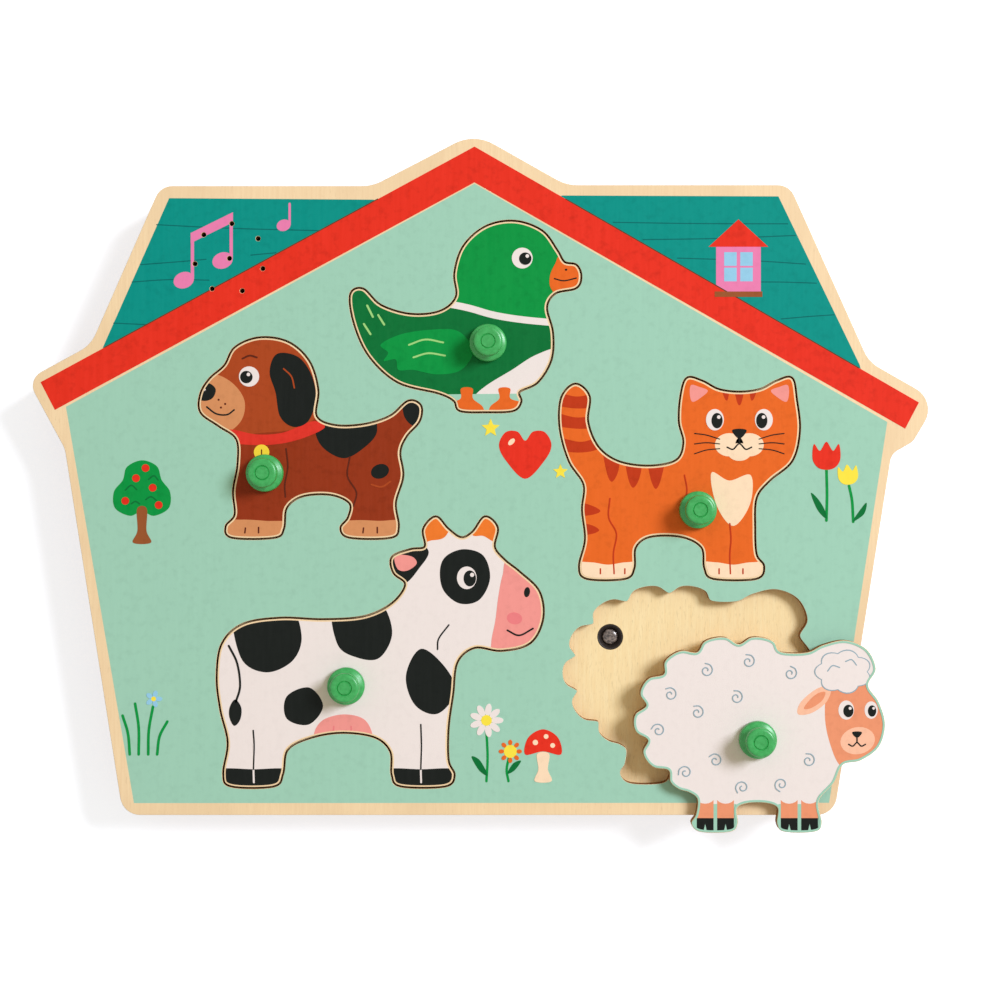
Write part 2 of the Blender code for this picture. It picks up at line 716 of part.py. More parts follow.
def rise_to_pad(way):
    """The last points of a lead: along its channel, then up to the pad at the way's end."""
    return [
        (*way.at(way.length - 2 * WIRE_BEND), WIRE_HEIGHT),
        (*way.at(way.length - WIRE_BEND / 2), WIRE_HEIGHT + WIRE_BEND / 2),
        (*way.at(way.length), CIRCUIT_BOTTOM - WIRE_BEND / 2),
        (*way.at(way.length), CIRCUIT_BOTTOM - WIRE_GAP),
    ]


def sensor_lead(animal, place, pad, finishes, group):
    """The lead from a sensor down through its sleeve, along its channel and up to its pad."""
    way = Direction(place, pad)
    start = SENSOR_BOTTOM - WIRE_GAP
    points = [
        (*place, start),
        (*place, start - WIRE_BEND),
        (*way.at(WIRE_BEND), WIRE_HEIGHT + SLACK),
        (*way.at(2 * WIRE_BEND), WIRE_HEIGHT),
        *rise_to_pad(way),
    ]
    wire(f"sensor_lead_{animal}", points, finishes["wire"], group)


def sound_holes():
    """The centres of the sound holes: one in the middle and a ring about it."""
    x, y = metres(SPEAKER_PLACE)
    centres = [(x, y)]
    for k in range(SOUND_RING_COUNT):
        angle = math.radians(SOUND_RING_START) + math.tau * k / SOUND_RING_COUNT
        reach = SOUND_RING_RADIUS
        centres.append((x + reach * math.cos(angle), y + reach * math.sin(angle)))
    return centres


def make_speaker(finishes, group):
    """A small loudspeaker: pressed basket, paper cone and magnet."""
    centre = metres(SPEAKER_PLACE)
    top = FLOOR_BOTTOM - TAPE_GAP
    rim = SPEAKER_RADIUS - SPEAKER_RIM
    sheet = SPEAKER_SHEET
    depth = SPEAKER_BASKET_DEPTH
    foot = SPEAKER_BASKET_RADIUS
    turned_mesh(
        "speaker_frame",
        [
            (rim, 0.0),
            (SPEAKER_RADIUS, 0.0),
            (SPEAKER_RADIUS, -sheet),
            (rim, -sheet),
            (foot, -depth),
            (0.0, -depth),
            (0.0, sheet - depth),
            (foot - sheet, sheet - depth),
            (rim - sheet, -sheet),
        ],
        centre,
        top,
        finishes["steel"],
        group,
    )
    cone_rim = rim - sheet - CONE_CLEARANCE
    cone_top = -CONE_CLEARANCE
    waist = cone_top - CONE_DEPTH
    dome = CONE_DOME_RADIUS
    turned_mesh(
        "speaker_cone",
        [
            (0.0, waist + CONE_DOME_HEIGHT),
            (CONE_DOME_SHOULDER_RADIUS, waist + CONE_DOME_SHOULDER_HEIGHT),
            (dome, waist),
            (cone_rim - CONE_ROLL, cone_top - CONE_THICKNESS),
            (cone_rim, cone_top),
            (cone_rim, cone_top - CONE_THICKNESS),
            (cone_rim - CONE_ROLL, cone_top - 2 * CONE_THICKNESS),
            (dome, waist - CONE_THICKNESS),
            (0.0, waist - CONE_THICKNESS),
        ],
        centre,
        top,
        finishes["paper"],
        group,
    )
    turned_mesh(
        "speaker_magnet",
        [
            (0.0, MAGNET_HEIGHT),
            (MAGNET_RADIUS, MAGNET_HEIGHT),
            (MAGNET_RADIUS, 0.0),
            (0.0, 0.0),
        ],
        centre,
        top - depth - GLUE_LINE - MAGNET_HEIGHT,
        finishes["magnet"],
        group,
    )


def box_left():
    return BOX_PLACE[0] * MM - BOX_INSIDE_LENGTH / 2 - BOX_WALL


def box_screw():
    """Where the battery door's screw goes up into the box's boss."""
    return (box_left() + BOX_LENGTH - BOX_WALL - BOX_BOSS / 2, BOX_PLACE[1] * MM)


def make_battery_box(finishes, group, cutters):
    """The box, open at the back, with a lip for the door's nose and a boss for its screw."""
    x, y = metres(BOX_PLACE)
    plastic = finishes["box_plastic"]
    box = block(
        "battery_box", (BOX_LENGTH, BOX_WIDTH, BOX_TOP - BOX_INSET),
        (box_left() + BOX_LENGTH / 2, y), BOX_INSET, plastic, group,
    )
    roof = BOX_TOP - BOX_CEILING
    hollow = block(
        "box_hollow", (BOX_INSIDE_LENGTH, BOX_INSIDE_WIDTH, roof - DOOR_BOTTOM), (x, y),
        DOOR_BOTTOM, plastic, cutters,
    )
    length = BOX_LENGTH - 2 * BOX_WALL
    left = box_left() + BOX_WALL
    door_room = block(
        "door_room", (length, BOX_INSIDE_WIDTH, DOOR_THICKNESS + 2 * DOOR_CLEARANCE),
        (left + length / 2, y), DOOR_BOTTOM - DOOR_CLEARANCE, plastic, cutters,
    )
    lip = DOOR_CLEARANCE + DOOR_THICKNESS / 2 - DOOR_LIP_SHY
    mouth = block(
        "door_mouth", (length - lip, BOX_INSIDE_WIDTH, DOOR_BOTTOM - BOX_INSET + CUTTER_MARGIN),
        (left + lip + (length - lip) / 2, y), BOX_INSET - CUTTER_MARGIN, plastic, cutters,
    )
    hole = SCREW_SHANK_RADIUS + SCREW_CLEARANCE
    depth = DOOR_SCREW_LENGTH + CUTTER_MARGIN
    boss_hole = turned(
        "boss_hole", [(0.0, depth), (hole, depth), (hole, 0.0), (0.0, 0.0)],
        box_screw(), DOOR_BOTTOM, plastic, cutters, SCREW_STEPS,
    )
    cut(box, [helper(tool) for tool in (hollow, door_room, mouth, boss_hole)])
    make_door(left, length, finishes, group, cutters)
    make_cells(finishes, group)


def make_door(left, length, finishes, group, cutters):
    """The battery door: a flat cover with a round nose behind the box's lip, and its screw."""
    y = BOX_PLACE[1] * MM
    nose = DOOR_THICKNESS / 2
    hinge = (left + DOOR_CLEARANCE + nose, DOOR_BOTTOM + nose)
    right = left + length - DOOR_CLEARANCE
    side = [
        (
            hinge[0] - nose * math.sin(math.pi * k / NOSE_STEPS),
            hinge[1] + nose * math.cos(math.pi * k / NOSE_STEPS),
        )
        for k in range(NOSE_STEPS + 1)
    ]
    side += [(right, DOOR_BOTTOM), (right, DOOR_BOTTOM + DOOR_THICKNESS)]
    side = [(x - hinge[0], z - hinge[1]) for x, z in side]
    width = BOX_INSIDE_WIDTH - 2 * DOOR_CLEARANCE
    cover = plate("battery_door", [side], -width / 2, width, finishes["box_plastic"], group)
    cover.location = (hinge[0], y, hinge[1])
    cover.rotation_euler = (math.pi / 2, 0.0, 0.0)
    cover = as_mesh(cover, group)
    tools = [
        screw_cutter(
            "door_screw_hole", box_screw(), DOOR_BOTTOM, DOOR_THICKNESS + CUTTER_MARGIN, cutters,
            finishes["steel"],
        )
    ]
    for k in range(GRIP_GROOVES):
        groove = block(
            f"grip_groove_{k}", (GRIP_WIDTH, GRIP_LENGTH, GRIP_WIDTH),
            (right - BOX_BOSS - k * GRIP_PITCH, y), DOOR_BOTTOM - GRIP_WIDTH / 2,
            finishes["box_plastic"], cutters,
        )
        tools.append(helper(groove))
    cut(cover, tools)
    turned_mesh(
        "battery_door_screw", screw_profile(DOOR_SCREW_LENGTH), box_screw(),
        DOOR_BOTTOM + SCREW_INSET, finishes["steel"], group, SCREW_STEPS,
    )


def cell_profile():
    """One cell along its axis, from the plus nipple down to the flat minus end."""
    return [
        (0.0, CELL_LENGTH + CELL_NIPPLE_LENGTH),
        (CELL_NIPPLE_RADIUS, CELL_LENGTH + CELL_NIPPLE_LENGTH),
        (CELL_NIPPLE_RADIUS, CELL_LENGTH),
        (CELL_RADIUS - CELL_EDGE, CELL_LENGTH),
        (CELL_RADIUS, CELL_LENGTH - CELL_EDGE),
        (CELL_RADIUS, CELL_EDGE),
        (CELL_RADIUS - CELL_EDGE, 0.0),
        (0.0, 0.0),
    ]


def make_cells(finishes, group):
    """Two cells head to tail, a spring at each minus end and a contact plate at each end."""
    x, y = metres(BOX_PLACE)
    plate_face = BOX_INSIDE_LENGTH / 2 - CONTACT_THICKNESS
    spring_length = CONTACT_ROOM - SEAT_GAP
    for number, way in ((1, 1.0), (2, -1.0)):
        row = y + way * (CELL_RADIUS + CELL_GAP / 2)
        cell = turned(
            f"battery_{number}", cell_profile(), (x - way * (plate_face - CONTACT_ROOM), row),
            CELL_AXIS, finishes["cell"], group, KNOB_STEPS,
        )
        cell.rotation_euler = (0.0, way * math.pi / 2, 0.0)
        as_mesh(cell, group)
        spring = turned(
            f"battery_spring_{number}",
            [
                (0.0, spring_length),
                (SPRING_TIP_RADIUS, spring_length),
                (SPRING_BASE_RADIUS, GLUE_LINE),
                (0.0, GLUE_LINE),
            ],
            (x - way * plate_face, row), CELL_AXIS, finishes["steel"], group, SMALL_TURNED_STEPS,
        )
        spring.rotation_euler = (0.0, way * math.pi / 2, 0.0)
        as_mesh(spring, group)
    for name, way in (("contact_plate_left", -1.0), ("contact_plate_right", 1.0)):
        block(
            name, (CONTACT_THICKNESS - GLUE_LINE, 4 * CELL_RADIUS, CONTACT_HEIGHT),
            (x + way * (plate_face + CONTACT_THICKNESS / 2), y), CELL_AXIS - CONTACT_HEIGHT / 2,
            finishes["steel"], group,
        )


def slider_room_length():
    return SLIDER_LENGTH + SWITCH_TRAVEL + 2 * SLIDER_CLEARANCE


def make_switch(finishes, group, cutters):
    """The slide switch, and the slider that reaches down into the slot of the back panel."""
    x, y = metres(SWITCH_PLACE)
    body = block(
        "switch_body", (SWITCH_WIDTH, SWITCH_LENGTH, SWITCH_HEIGHT), (x, y), CORE_BOTTOM,
        finishes["steel"], group,
    )
    room = block(
        "slider_room",
        (SLIDER_WIDTH + 2 * SLIDER_CLEARANCE, slider_room_length(), 2 * SLIDER_DEPTH),
        (x, y), CORE_BOTTOM - SLIDER_DEPTH, finishes["steel"], cutters,
    )
    cut(body, [helper(room)])
    start = y - SWITCH_TRAVEL / 2
    height = CORE_BOTTOM + SLIDER_DEPTH - SLIDER_CLEARANCE - SLIDER_INSET
    slider = block(
        "switch_slider", (SLIDER_WIDTH, SLIDER_LENGTH, height), (x, start), SLIDER_INSET,
        finishes["black_plastic"], group,
    )
    ribs = []
    for k in range(SLIDER_RIBS):
        step = (k - (SLIDER_RIBS - 1) / 2) * SLIDER_LENGTH / SLIDER_RIBS
        rib = block(
            f"slider_groove_{k}",
            (SLIDER_WIDTH + CUTTER_MARGIN, SLIDER_RIB_DEPTH, 2 * SLIDER_RIB_DEPTH),
            (x, start + step), SLIDER_INSET - SLIDER_RIB_DEPTH, finishes["black_plastic"], cutters,
        )
        ribs.append(helper(rib))
    cut(slider, ribs)


def bar_between(name, start, end, width, bottom, height, finish, group):
    """A box of the given width that runs from start to end on the plan."""
    middle = ((start[0] + end[0]) / 2, (start[1] + end[1]) / 2)
    obj = block(name, (math.dist(start, end), width, height), middle, bottom, finish, group)
    obj.rotation_euler = (0.0, 0.0, math.atan2(end[1] - start[1], end[0] - start[0]))
    return obj


def round_cutter(name, radius, centre, bottom, top, finish, cutters, steps=SMALL_TURNED_STEPS):
    height = top - bottom
    profile = [(0.0, height), (radius, height), (radius, 0.0), (0.0, 0.0)]
    return turned(name, profile, centre, bottom, finish, cutters, steps)


def make_core(house, finishes, group, cutters):
    """The middle board: pockets right through it, and routed wells and channels for the leads."""
    wood = finishes["core"]
    core = plate("core_board", [house], CORE_BOTTOM, CORE_TOP - CORE_BOTTOM, wood, group)
    core = as_mesh(core, group)
    low = CORE_BOTTOM - CUTTER_MARGIN
    high = CORE_TOP + CUTTER_MARGIN
    routed = high - CHANNEL_FLOOR
    spare = 2 * POCKET_CLEARANCE
    box_centre = (box_left() + BOX_LENGTH / 2, BOX_PLACE[1] * MM)
    switch = metres(SWITCH_PLACE)
    speaker = metres(SPEAKER_PLACE)
    tools = [
        block(
            "box_pocket", (BOX_LENGTH + spare, BOX_WIDTH + spare, high - low), box_centre, low,
            wood, cutters,
        ),
        block(
            "circuit_pocket", (CIRCUIT_LENGTH + spare, CIRCUIT_WIDTH + spare, routed),
            metres(CIRCUIT_PLACE), CHANNEL_FLOOR, wood, cutters,
        ),
        block(
            "switch_pocket", (SWITCH_WIDTH + spare, SWITCH_LENGTH + spare, high - low), switch, low,
            wood, cutters,
        ),
        round_cutter(
            "speaker_pocket", SPEAKER_RADIUS + POCKET_CLEARANCE, speaker, low, high, wood, cutters,
            TURNED_STEPS,
        ),
    ]
    channels = {
        "speaker": (speaker, solder_pad(-1, 1)),
        "battery": (box_centre, solder_pad(0, -1)),
        "switch": (switch, box_centre),
    }
    for animal, (place, pad) in sensor_routes().items():
        channels[animal] = (place, pad)
        tools.append(
            round_cutter(f"well_{animal}", WELL_RADIUS, place, CHANNEL_FLOOR, high, wood, cutters)
        )
    for name, (start, end) in channels.items():
        tools.append(
            bar_between(
                f"channel_{name}", start, end, CHANNEL_WIDTH, CHANNEL_FLOOR, routed, wood, cutters
            )
        )
    pilot = SCREW_SHANK_RADIUS + SCREW_CLEARANCE
    tip = SCREW_INSET + BACK_SCREW_LENGTH + SCREW_CLEARANCE
    for number, place in enumerate(BACK_SCREWS):
        tools.append(
            round_cutter(f"pilot_{number}", pilot, metres(place), low, tip, wood, cutters, SCREW_STEPS)
        )
    cut(core, [helper(tool) for tool in tools])


def make_back(house, finishes, group, cutters):
    """The back panel: countersunk screws, the battery opening and the switch slot."""
    spare = 2 * POCKET_CLEARANCE
    box_centre = (box_left() + BOX_LENGTH / 2, BOX_PLACE[1] * MM)
    holes = [
        rectangle(BOX_LENGTH + spare, BOX_WIDTH + spare, box_centre),
        rectangle(SLIDER_WIDTH + 2 * SLIDER_CLEARANCE, slider_room_length(), metres(SWITCH_PLACE)),
    ]
    panel = plate("back_panel", [house, *holes], 0.0, BACK_THICKNESS, finishes["plywood"], group)
    panel = as_mesh(panel, group)
    depth = BACK_THICKNESS + CUTTER_MARGIN
    tools = []
    for number, place in enumerate(BACK_SCREWS):
        centre = metres(place)
        steel = finishes["steel"]
        tools.append(screw_cutter(f"back_hole_{number}", centre, 0.0, depth, cutters, steel))
        turned_mesh(
            f"back_screw_{number + 1}", screw_profile(BACK_SCREW_LENGTH), centre, SCREW_INSET,
            steel, group, SCREW_STEPS,
        )
    cut(panel, tools)


def make_circuit(finishes, group):
    """The circuit board and the black blob over its sound chip."""
    centre = metres(CIRCUIT_PLACE)
    block(
        "circuit_board", (CIRCUIT_LENGTH, CIRCUIT_WIDTH, CIRCUIT_THICKNESS), centre,
        CIRCUIT_BOTTOM, finishes["circuit"], group,
    )
    turned_mesh(
        "sound_chip",
        [
            (0.0, CHIP_HEIGHT),
            (CHIP_RADIUS, CHIP_HEIGHT),
            (CHIP_SHOULDER_RADIUS, CHIP_SHOULDER_HEIGHT),
            (CHIP_CROWN_RADIUS, CHIP_CROWN_HEIGHT),
            (0.0, 0.0),
        ],
        centre,
        CIRCUIT_BOTTOM - GLUE_LINE - CHIP_HEIGHT,
        finishes["black_plastic"],
        group,
        SMALL_TURNED_STEPS,
    )


def make_power_leads(finishes, group):
    """The leads from the loudspeaker and battery box to the circuit board, and from the switch."""
    way = Direction(metres(SPEAKER_PLACE), solder_pad(-1, 1))
    lug = FLOOR_BOTTOM - TAPE_GAP - SPEAKER_SHEET - WIRE_GAP - WIRE_RADIUS
    edge = SPEAKER_RADIUS - SLACK
    wire(
        "speaker_lead",
        [
            (*way.at(edge), lug),
            (*way.at(edge + WIRE_BEND), lug - SLACK),
            (*way.at(edge + 3 * WIRE_BEND), WIRE_HEIGHT),
            *rise_to_pad(way),
        ],
        finishes["wire"],
        group,
    )
    pad = solder_pad(0, -1)
    x, y = BOX_PLACE[0] * MM, BOX_PLACE[1] * MM
    wall = y + BOX_WIDTH / 2 + WIRE_GAP
    way = Direction((pad[0], wall), pad)
    wire(
        "battery_lead",
        [(pad[0], wall, WIRE_HEIGHT), (*way.at(WIRE_BEND), WIRE_HEIGHT), *rise_to_pad(way)],
        finishes["red_wire"],
        group,
    )
    switch = metres(SWITCH_PLACE)
    side = switch[0] + SWITCH_WIDTH / 2 - WIRE_RADIUS
    above = CORE_BOTTOM + SWITCH_HEIGHT + WIRE_GAP
    wire(
        "switch_lead",
        [
            (side, y, above),
            (side, y, above + SLACK),
            (side + WIRE_BEND, y, above + 2 * SLACK),
            (box_left() - WIRE_GAP, y, above + 2 * SLACK),
        ],
        finishes["red_wire"],
        group,
    )


def make_finishes():
    return {
        "plywood": material("birch_plywood", (0.90, 0.76, 0.50), 0.6),
        "core": material("core_board", (0.62, 0.46, 0.30), 0.8),
        "face": material("mint_print", (0.35, 0.62, 0.50), 0.55),
        "duck": material("duck_green_print", (0.0, 0.28, 0.05), 0.5),
        "dog": material("dog_brown_print", (0.40, 0.05, 0.01), 0.5),
        "cat": material("cat_orange_print", (0.80, 0.14, 0.015), 0.5),
        "cow": material("cow_white_print", (0.90, 0.85, 0.82), 0.5),
        "sheep": material("sheep_white_print", (0.88, 0.82, 0.80), 0.5),
        "knob": material("green_knob_plastic", (0.05, 0.38, 0.10), 0.3),
        "steel": material("zinc_steel", (0.65, 0.65, 0.67), 0.35, 1.0),
        "black_plastic": material("black_plastic", (0.02, 0.02, 0.02), 0.45),
        "sensor": material("sensor_lens", (0.45, 0.40, 0.38), 0.25),
        "circuit": material("circuit_green", (0.02, 0.20, 0.08), 0.4),
        "paper": material("cone_paper", (0.10, 0.10, 0.10), 0.9),
        "magnet": material("ferrite", (0.08, 0.08, 0.09), 0.6),
        "cell": material("cell_jacket", (0.20, 0.22, 0.24), 0.35, 0.6),
        "box_plastic": material("box_plastic", (0.80, 0.80, 0.78), 0.45),
        "wire": material("black_wire", (0.03, 0.03, 0.03), 0.5),
        "red_wire": material("red_wire", (0.60, 0.03, 0.02), 0.5),
    }


def main():
    clear_scene()
    group = bpy.data.collections.new("sound_puzzle")
    cutters = bpy.data.collections.new("cutters")
    bpy.context.scene.collection.children.link(group)
    bpy.context.scene.collection.children.link(cutters)
    finishes = make_finishes()
    house = rounded_outline(HOUSE_CORNERS)
    animals = {
        "duck": (smooth_outline(DUCK_OUTLINE), DUCK_PLACE),
        "dog": (smooth_outline(DOG_OUTLINE), DOG_PLACE),
        "cat": (smooth_outline(CAT_OUTLINE), CAT_PLACE),
        "cow": (smooth_outline(COW_OUTLINE), COW_PLACE),
        "sheep": (smooth_outline(sheep_marks()), SHEEP_PLACE),
    }
    windows = [
        moved(offset_outline(outline, PIECE_CLEARANCE), metres(place))
        for outline, place in animals.values()
    ]
    sound = [circle(SOUND_HOLE_RADIUS, centre, SOUND_HOLE_STEPS) for centre in sound_holes()]
    face = plate(
        "face_panel", [house, *windows, *sound], FACE_BOTTOM, FACE_THICKNESS, finishes["face"], group
    )
    as_mesh(face, group)
    sleeve_holes = [
        circle(SLEEVE_RADIUS + SLEEVE_CLEARANCE, place) for place, pad in sensor_routes().values()
    ]
    floor = plate(
        "recess_floor", [house, *sleeve_holes, *sound], FLOOR_BOTTOM, FLOOR_THICKNESS,
        finishes["plywood"], group,
    )
    as_mesh(floor, group)
    make_core(house, finishes, group, cutters)
    make_back(house, finishes, group, cutters)
    for animal, (outline, place) in animals.items():
        bottom = SEATED_BOTTOM
        if animal == "sheep":
            place = (place[0] + SHEEP_SHIFT[0], place[1] + SHEEP_SHIFT[1])
            bottom = LYING_BOTTOM
        make_piece(animal, outline, place, bottom, finishes, group, cutters)
    for animal, (place, pad) in sensor_routes().items():
        make_sensor(animal, place, finishes, group)
        sensor_lead(animal, place, pad, finishes, group)
    make_speaker(finishes, group)
    make_battery_box(finishes, group, cutters)
    make_switch(finishes, group, cutters)
    make_circuit(finishes, group)
    make_power_leads(finishes, group)


main()
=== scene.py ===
import math

import bmesh
import bpy
from mathutils import Color, Matrix, Vector, geometry


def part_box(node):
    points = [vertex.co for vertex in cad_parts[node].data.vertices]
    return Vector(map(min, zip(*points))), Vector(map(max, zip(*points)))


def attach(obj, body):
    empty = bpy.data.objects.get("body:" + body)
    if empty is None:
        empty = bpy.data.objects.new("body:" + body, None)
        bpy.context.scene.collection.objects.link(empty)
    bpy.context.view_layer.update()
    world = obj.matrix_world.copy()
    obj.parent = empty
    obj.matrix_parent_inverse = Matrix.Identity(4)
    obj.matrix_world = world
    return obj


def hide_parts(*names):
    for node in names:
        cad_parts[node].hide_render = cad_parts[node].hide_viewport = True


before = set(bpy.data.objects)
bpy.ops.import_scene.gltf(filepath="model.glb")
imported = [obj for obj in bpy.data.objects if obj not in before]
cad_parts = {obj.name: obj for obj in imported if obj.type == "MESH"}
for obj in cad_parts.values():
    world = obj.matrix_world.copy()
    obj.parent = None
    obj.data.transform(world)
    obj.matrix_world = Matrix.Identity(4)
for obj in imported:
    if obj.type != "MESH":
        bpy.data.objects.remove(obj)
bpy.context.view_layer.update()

# The camera looks straight down on the board from 65 cm above its face, a little right
# of and below its middle, as the photographer's did.
EYE = (0.00654, -0.00771, 0.6723)
LENS_MM, FILM_MM = 69.8, 36.0
camera = bpy.data.objects.new("camera", bpy.data.cameras.new("camera"))
camera.data.lens, camera.data.sensor_width = LENS_MM, FILM_MM
camera.location = EYE
bpy.context.scene.collection.objects.link(camera)
bpy.context.scene.camera = camera
bpy.context.scene.view_settings.view_transform = "Standard"

# One large softbox stands to the right, above the board's shoulder, and pale studio walls
# fill the other half of the light, so that a knob throws a soft shadow to the lower left.
SOFTBOX_WAY = Vector((8.4, 4.2, 9.0)).normalized()
SOFTBOX_DISTANCE = 3.0
SOFTBOX_WIDTH = 0.97
SOFTBOX_SHARE = 0.58
SOFTBOX_TINT = (0.94, 0.985, 1.09)
ROOM_TINT = (0.475, 0.43, 0.33, 1.0)
softbox = bpy.data.objects.new("softbox", bpy.data.lights.new("softbox", "AREA"))
softbox.data.size = SOFTBOX_WIDTH
softbox.data.color = SOFTBOX_TINT
softbox.data.energy = SOFTBOX_SHARE * math.pi**2 * SOFTBOX_DISTANCE**2 / SOFTBOX_WAY.z
softbox.location = SOFTBOX_WAY * SOFTBOX_DISTANCE
softbox.rotation_euler = SOFTBOX_WAY.to_track_quat("Z", "Y").to_euler()
bpy.context.scene.collection.objects.link(softbox)


def add(tree, kind, values, **settings):
    """A shader node with its settings, its sockets set to values or joined to other nodes."""
    node = tree.nodes.new("ShaderNode" + kind)
    for setting, value in settings.items():
        setattr(node, setting, value)
    for socket, value in values.items():
        if isinstance(value, bpy.types.NodeSocket):
            tree.links.new(value, node.inputs[socket])
        else:
            node.inputs[socket].default_value = value
    return node


def reckon(tree, operation, first, second=0.0):
    """A sum of numbers or sockets, worked out in the shader."""
    return add(tree, "Math", {0: first, 1: second}, operation=operation).outputs[0]


def seen_directly(tree):
    """1 where the camera, a gloss or clear plastic shows a surface, 0 where it lights another."""
    ray = add(tree, "LightPath", {}).outputs
    shiny = reckon(tree, "MAXIMUM", ray["Is Glossy Ray"], ray["Is Transmission Ray"])
    return reckon(tree, "MAXIMUM", ray["Is Camera Ray"], shiny)


room = bpy.data.worlds.new("room")
bpy.context.scene.world = room
room.use_nodes = True
walls = room.node_tree
walls.nodes.clear()
fill = add(walls, "Background", {"Color": ROOM_TINT, "Strength": 1.0})
backdrop = add(walls, "Background", {"Color": (1, 1, 1, 1), "Strength": 1.0})
either = add(
    walls, "MixShader", {0: seen_directly(walls), 1: fill.outputs[0], 2: backdrop.outputs[0]}
)
add(walls, "OutputWorld", {"Surface": either.outputs[0]})

# The five animals are sawn out of birch plywood by a laser, printed, and lie loosely in
# their windows. The duck is green, with an orange bill and feet and a white collar.
MM = 0.001
WELD = 0.0001
SHEET_RIM = 0.14
INK_DEPTH = 0.15
BARE_RIM = 0.55
SCREW_EASE = 0.15
DUCK = [
    (31, 22.5), (29.5, 18.7), (22.5, 16.9), (19.5, 12), (21.5, 3.5), (21, -5.5), (16.5, -13),
    (10.4, -16.2), (10.9, -19.6), (8.3, -22.5), (-0.5, -22.9), (-9.3, -22.5), (-11.3, -19.2),
    (-16.5, -16.6), (-30, -13), (-39.5, -4.5), (-44.5, 6), (-46, 16), (-42, 18), (-36, 12.5),
    (-26, 9.5), (-16, 10.5), (-10.5, 15.5), (-11, 23.5), (-8, 32.5), (-0.5, 39), (9, 40.7),
    (18, 37.5), (23, 31), (25.5, 27), (29.5, 26),
]


def moved_out(points, distance):
    """A closed line moved outwards by a distance."""
    if not distance:
        return points
    area = sum(before.cross(after) for before, after in zip(points, points[1:] + points[:1]))
    line = []
    for i, here in enumerate(points):
        way = (here - points[i - 1]).normalized()
        way += (points[(i + 1) % len(points)] - here).normalized()
        out = Vector((way.y, -way.x)).normalized() * math.copysign(1, area)
        line.append(here + out * distance)
    return line


def bend(before, here, after, beyond, steps):
    """A smooth stretch from one mark to just short of the next, led by those round it."""
    leave, arrive = here + (after - before) / 6, after - (beyond - here) / 6
    return geometry.interpolate_bezier(here, leave, arrive, after, steps + 1)[:-1]


def smooth(marks, grow=0.0, steps=8):
    """A closed line that runs smoothly through its marks, moved outwards by grow."""
    marks = [Vector(mark) for mark in marks]
    points = []
    for i, here in enumerate(marks):
        after, beyond = (marks[(i + ahead) % len(marks)] for ahead in (1, 2))
        points += bend(marks[i - 1], here, after, beyond, steps)
    return moved_out(points, grow)


def block(left, low, right, high):
    """The corners of a rectangle."""
    return [(left, low), (right, low), (right, high), (left, high)]


def oval(x, y, across, high=None, turn=0.0, steps=28):
    """A closed oval from its half width and half height, turned by degrees."""
    spin = Matrix.Rotation(math.radians(turn), 2)
    high = high or across
    return [
        Vector((x, y)) + spin @ Vector((across * math.cos(angle), high * math.sin(angle)))
        for angle in (math.tau * k / steps for k in range(steps))
    ]


def stroke(marks, width=0.55, steps=6, cap_steps=5):
    """The closed edge of a line drawn smoothly through its marks, with round ends."""
    marks = [Vector(mark) for mark in marks]
    marks = [2 * marks[0] - marks[1], *marks, 2 * marks[-1] - marks[-2]]
    line = []
    for four in zip(marks, marks[1:], marks[2:], marks[3:]):
        line += bend(*four, steps)
    line.append(marks[-2])
    sides = []
    for before, here, after in zip([line[0], *line], line, [*line[1:], line[-1]]):
        way = (after - before).normalized()
        sides.append(Vector((-way.y, way.x)) * width / 2)
    edge = []
    along = list(zip(line, sides))
    for ends, out in ((along, 1), (along[::-1], -1)):
        edge += [here + side * out for here, side in ends]
        here, side = ends[-1]
        edge += [
            here + Matrix.Rotation(-math.pi * k / cap_steps, 2) @ (side * out)
            for k in range(1, cap_steps)
        ]
    return edge


def strokes(width, *lines):
    """Drawn lines of one width."""
    return [stroke(marks, width) for marks in lines]


def moved(line, place, size=1.0, turn=0.0):
    """A line brought to its place on the sheet, sized and turned by degrees about its own zero."""
    spin = Matrix.Rotation(math.radians(turn), 2)
    return [spin @ Vector(point) * size + Vector(place) for point in line]


def sheet(lines, low, high, rim=0.0):
    """A flat sheet between two heights, cut along closed lines, its edges rounded to a rim."""
    cut = bpy.data.curves.new("cut", "CURVE")
    cut.dimensions, cut.fill_mode = "2D", "BOTH"
    cut.extrude = (high - low) / 2 - rim
    cut.bevel_depth, cut.offset, cut.bevel_resolution = rim, -rim, 1
    for line in lines:
        spline = cut.splines.new("POLY")
        spline.points.add(len(line) - 1)
        spline.points.foreach_set("co", [c for p in line for c in (p[0], p[1], 0.0, 1.0)])
        spline.use_cyclic_u = True
    holder = bpy.data.objects.new("cut", cut)
    mesh = bpy.data.meshes.new_from_object(holder)
    shape = bmesh.new()
    shape.from_mesh(mesh)
    bpy.data.objects.remove(holder)
    bpy.data.meshes.remove(mesh)
    bmesh.ops.remove_doubles(shape, verts=shape.verts, dist=WELD)
    bmesh.ops.translate(shape, vec=(0, 0, (high + low) / 2), verts=shape.verts)
    bmesh.ops.recalc_face_normals(shape, faces=shape.faces)
    return shape


def placed(name, shape, *finishes):
    """The shape, built in millimetres, as an object of the scene in metres."""
    bmesh.ops.scale(shape, vec=(MM, MM, MM), verts=shape.verts)
    mesh = bpy.data.meshes.new(name)
    shape.to_mesh(mesh)
    shape.free()
    for finish in finishes:
        mesh.materials.append(finish)
    piece = bpy.data.objects.new(name, mesh)
    bpy.context.scene.collection.objects.link(piece)
    return piece


def middle(node):
    """Where the middle of a CAD part is, seen from above, in millimetres."""
    low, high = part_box(node)
    return (low + high).xy / 2 / MM


def levels(node):
    """The heights of a CAD part's underside and top in millimetres."""
    low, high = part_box(node)
    return low.z / MM, high.z / MM


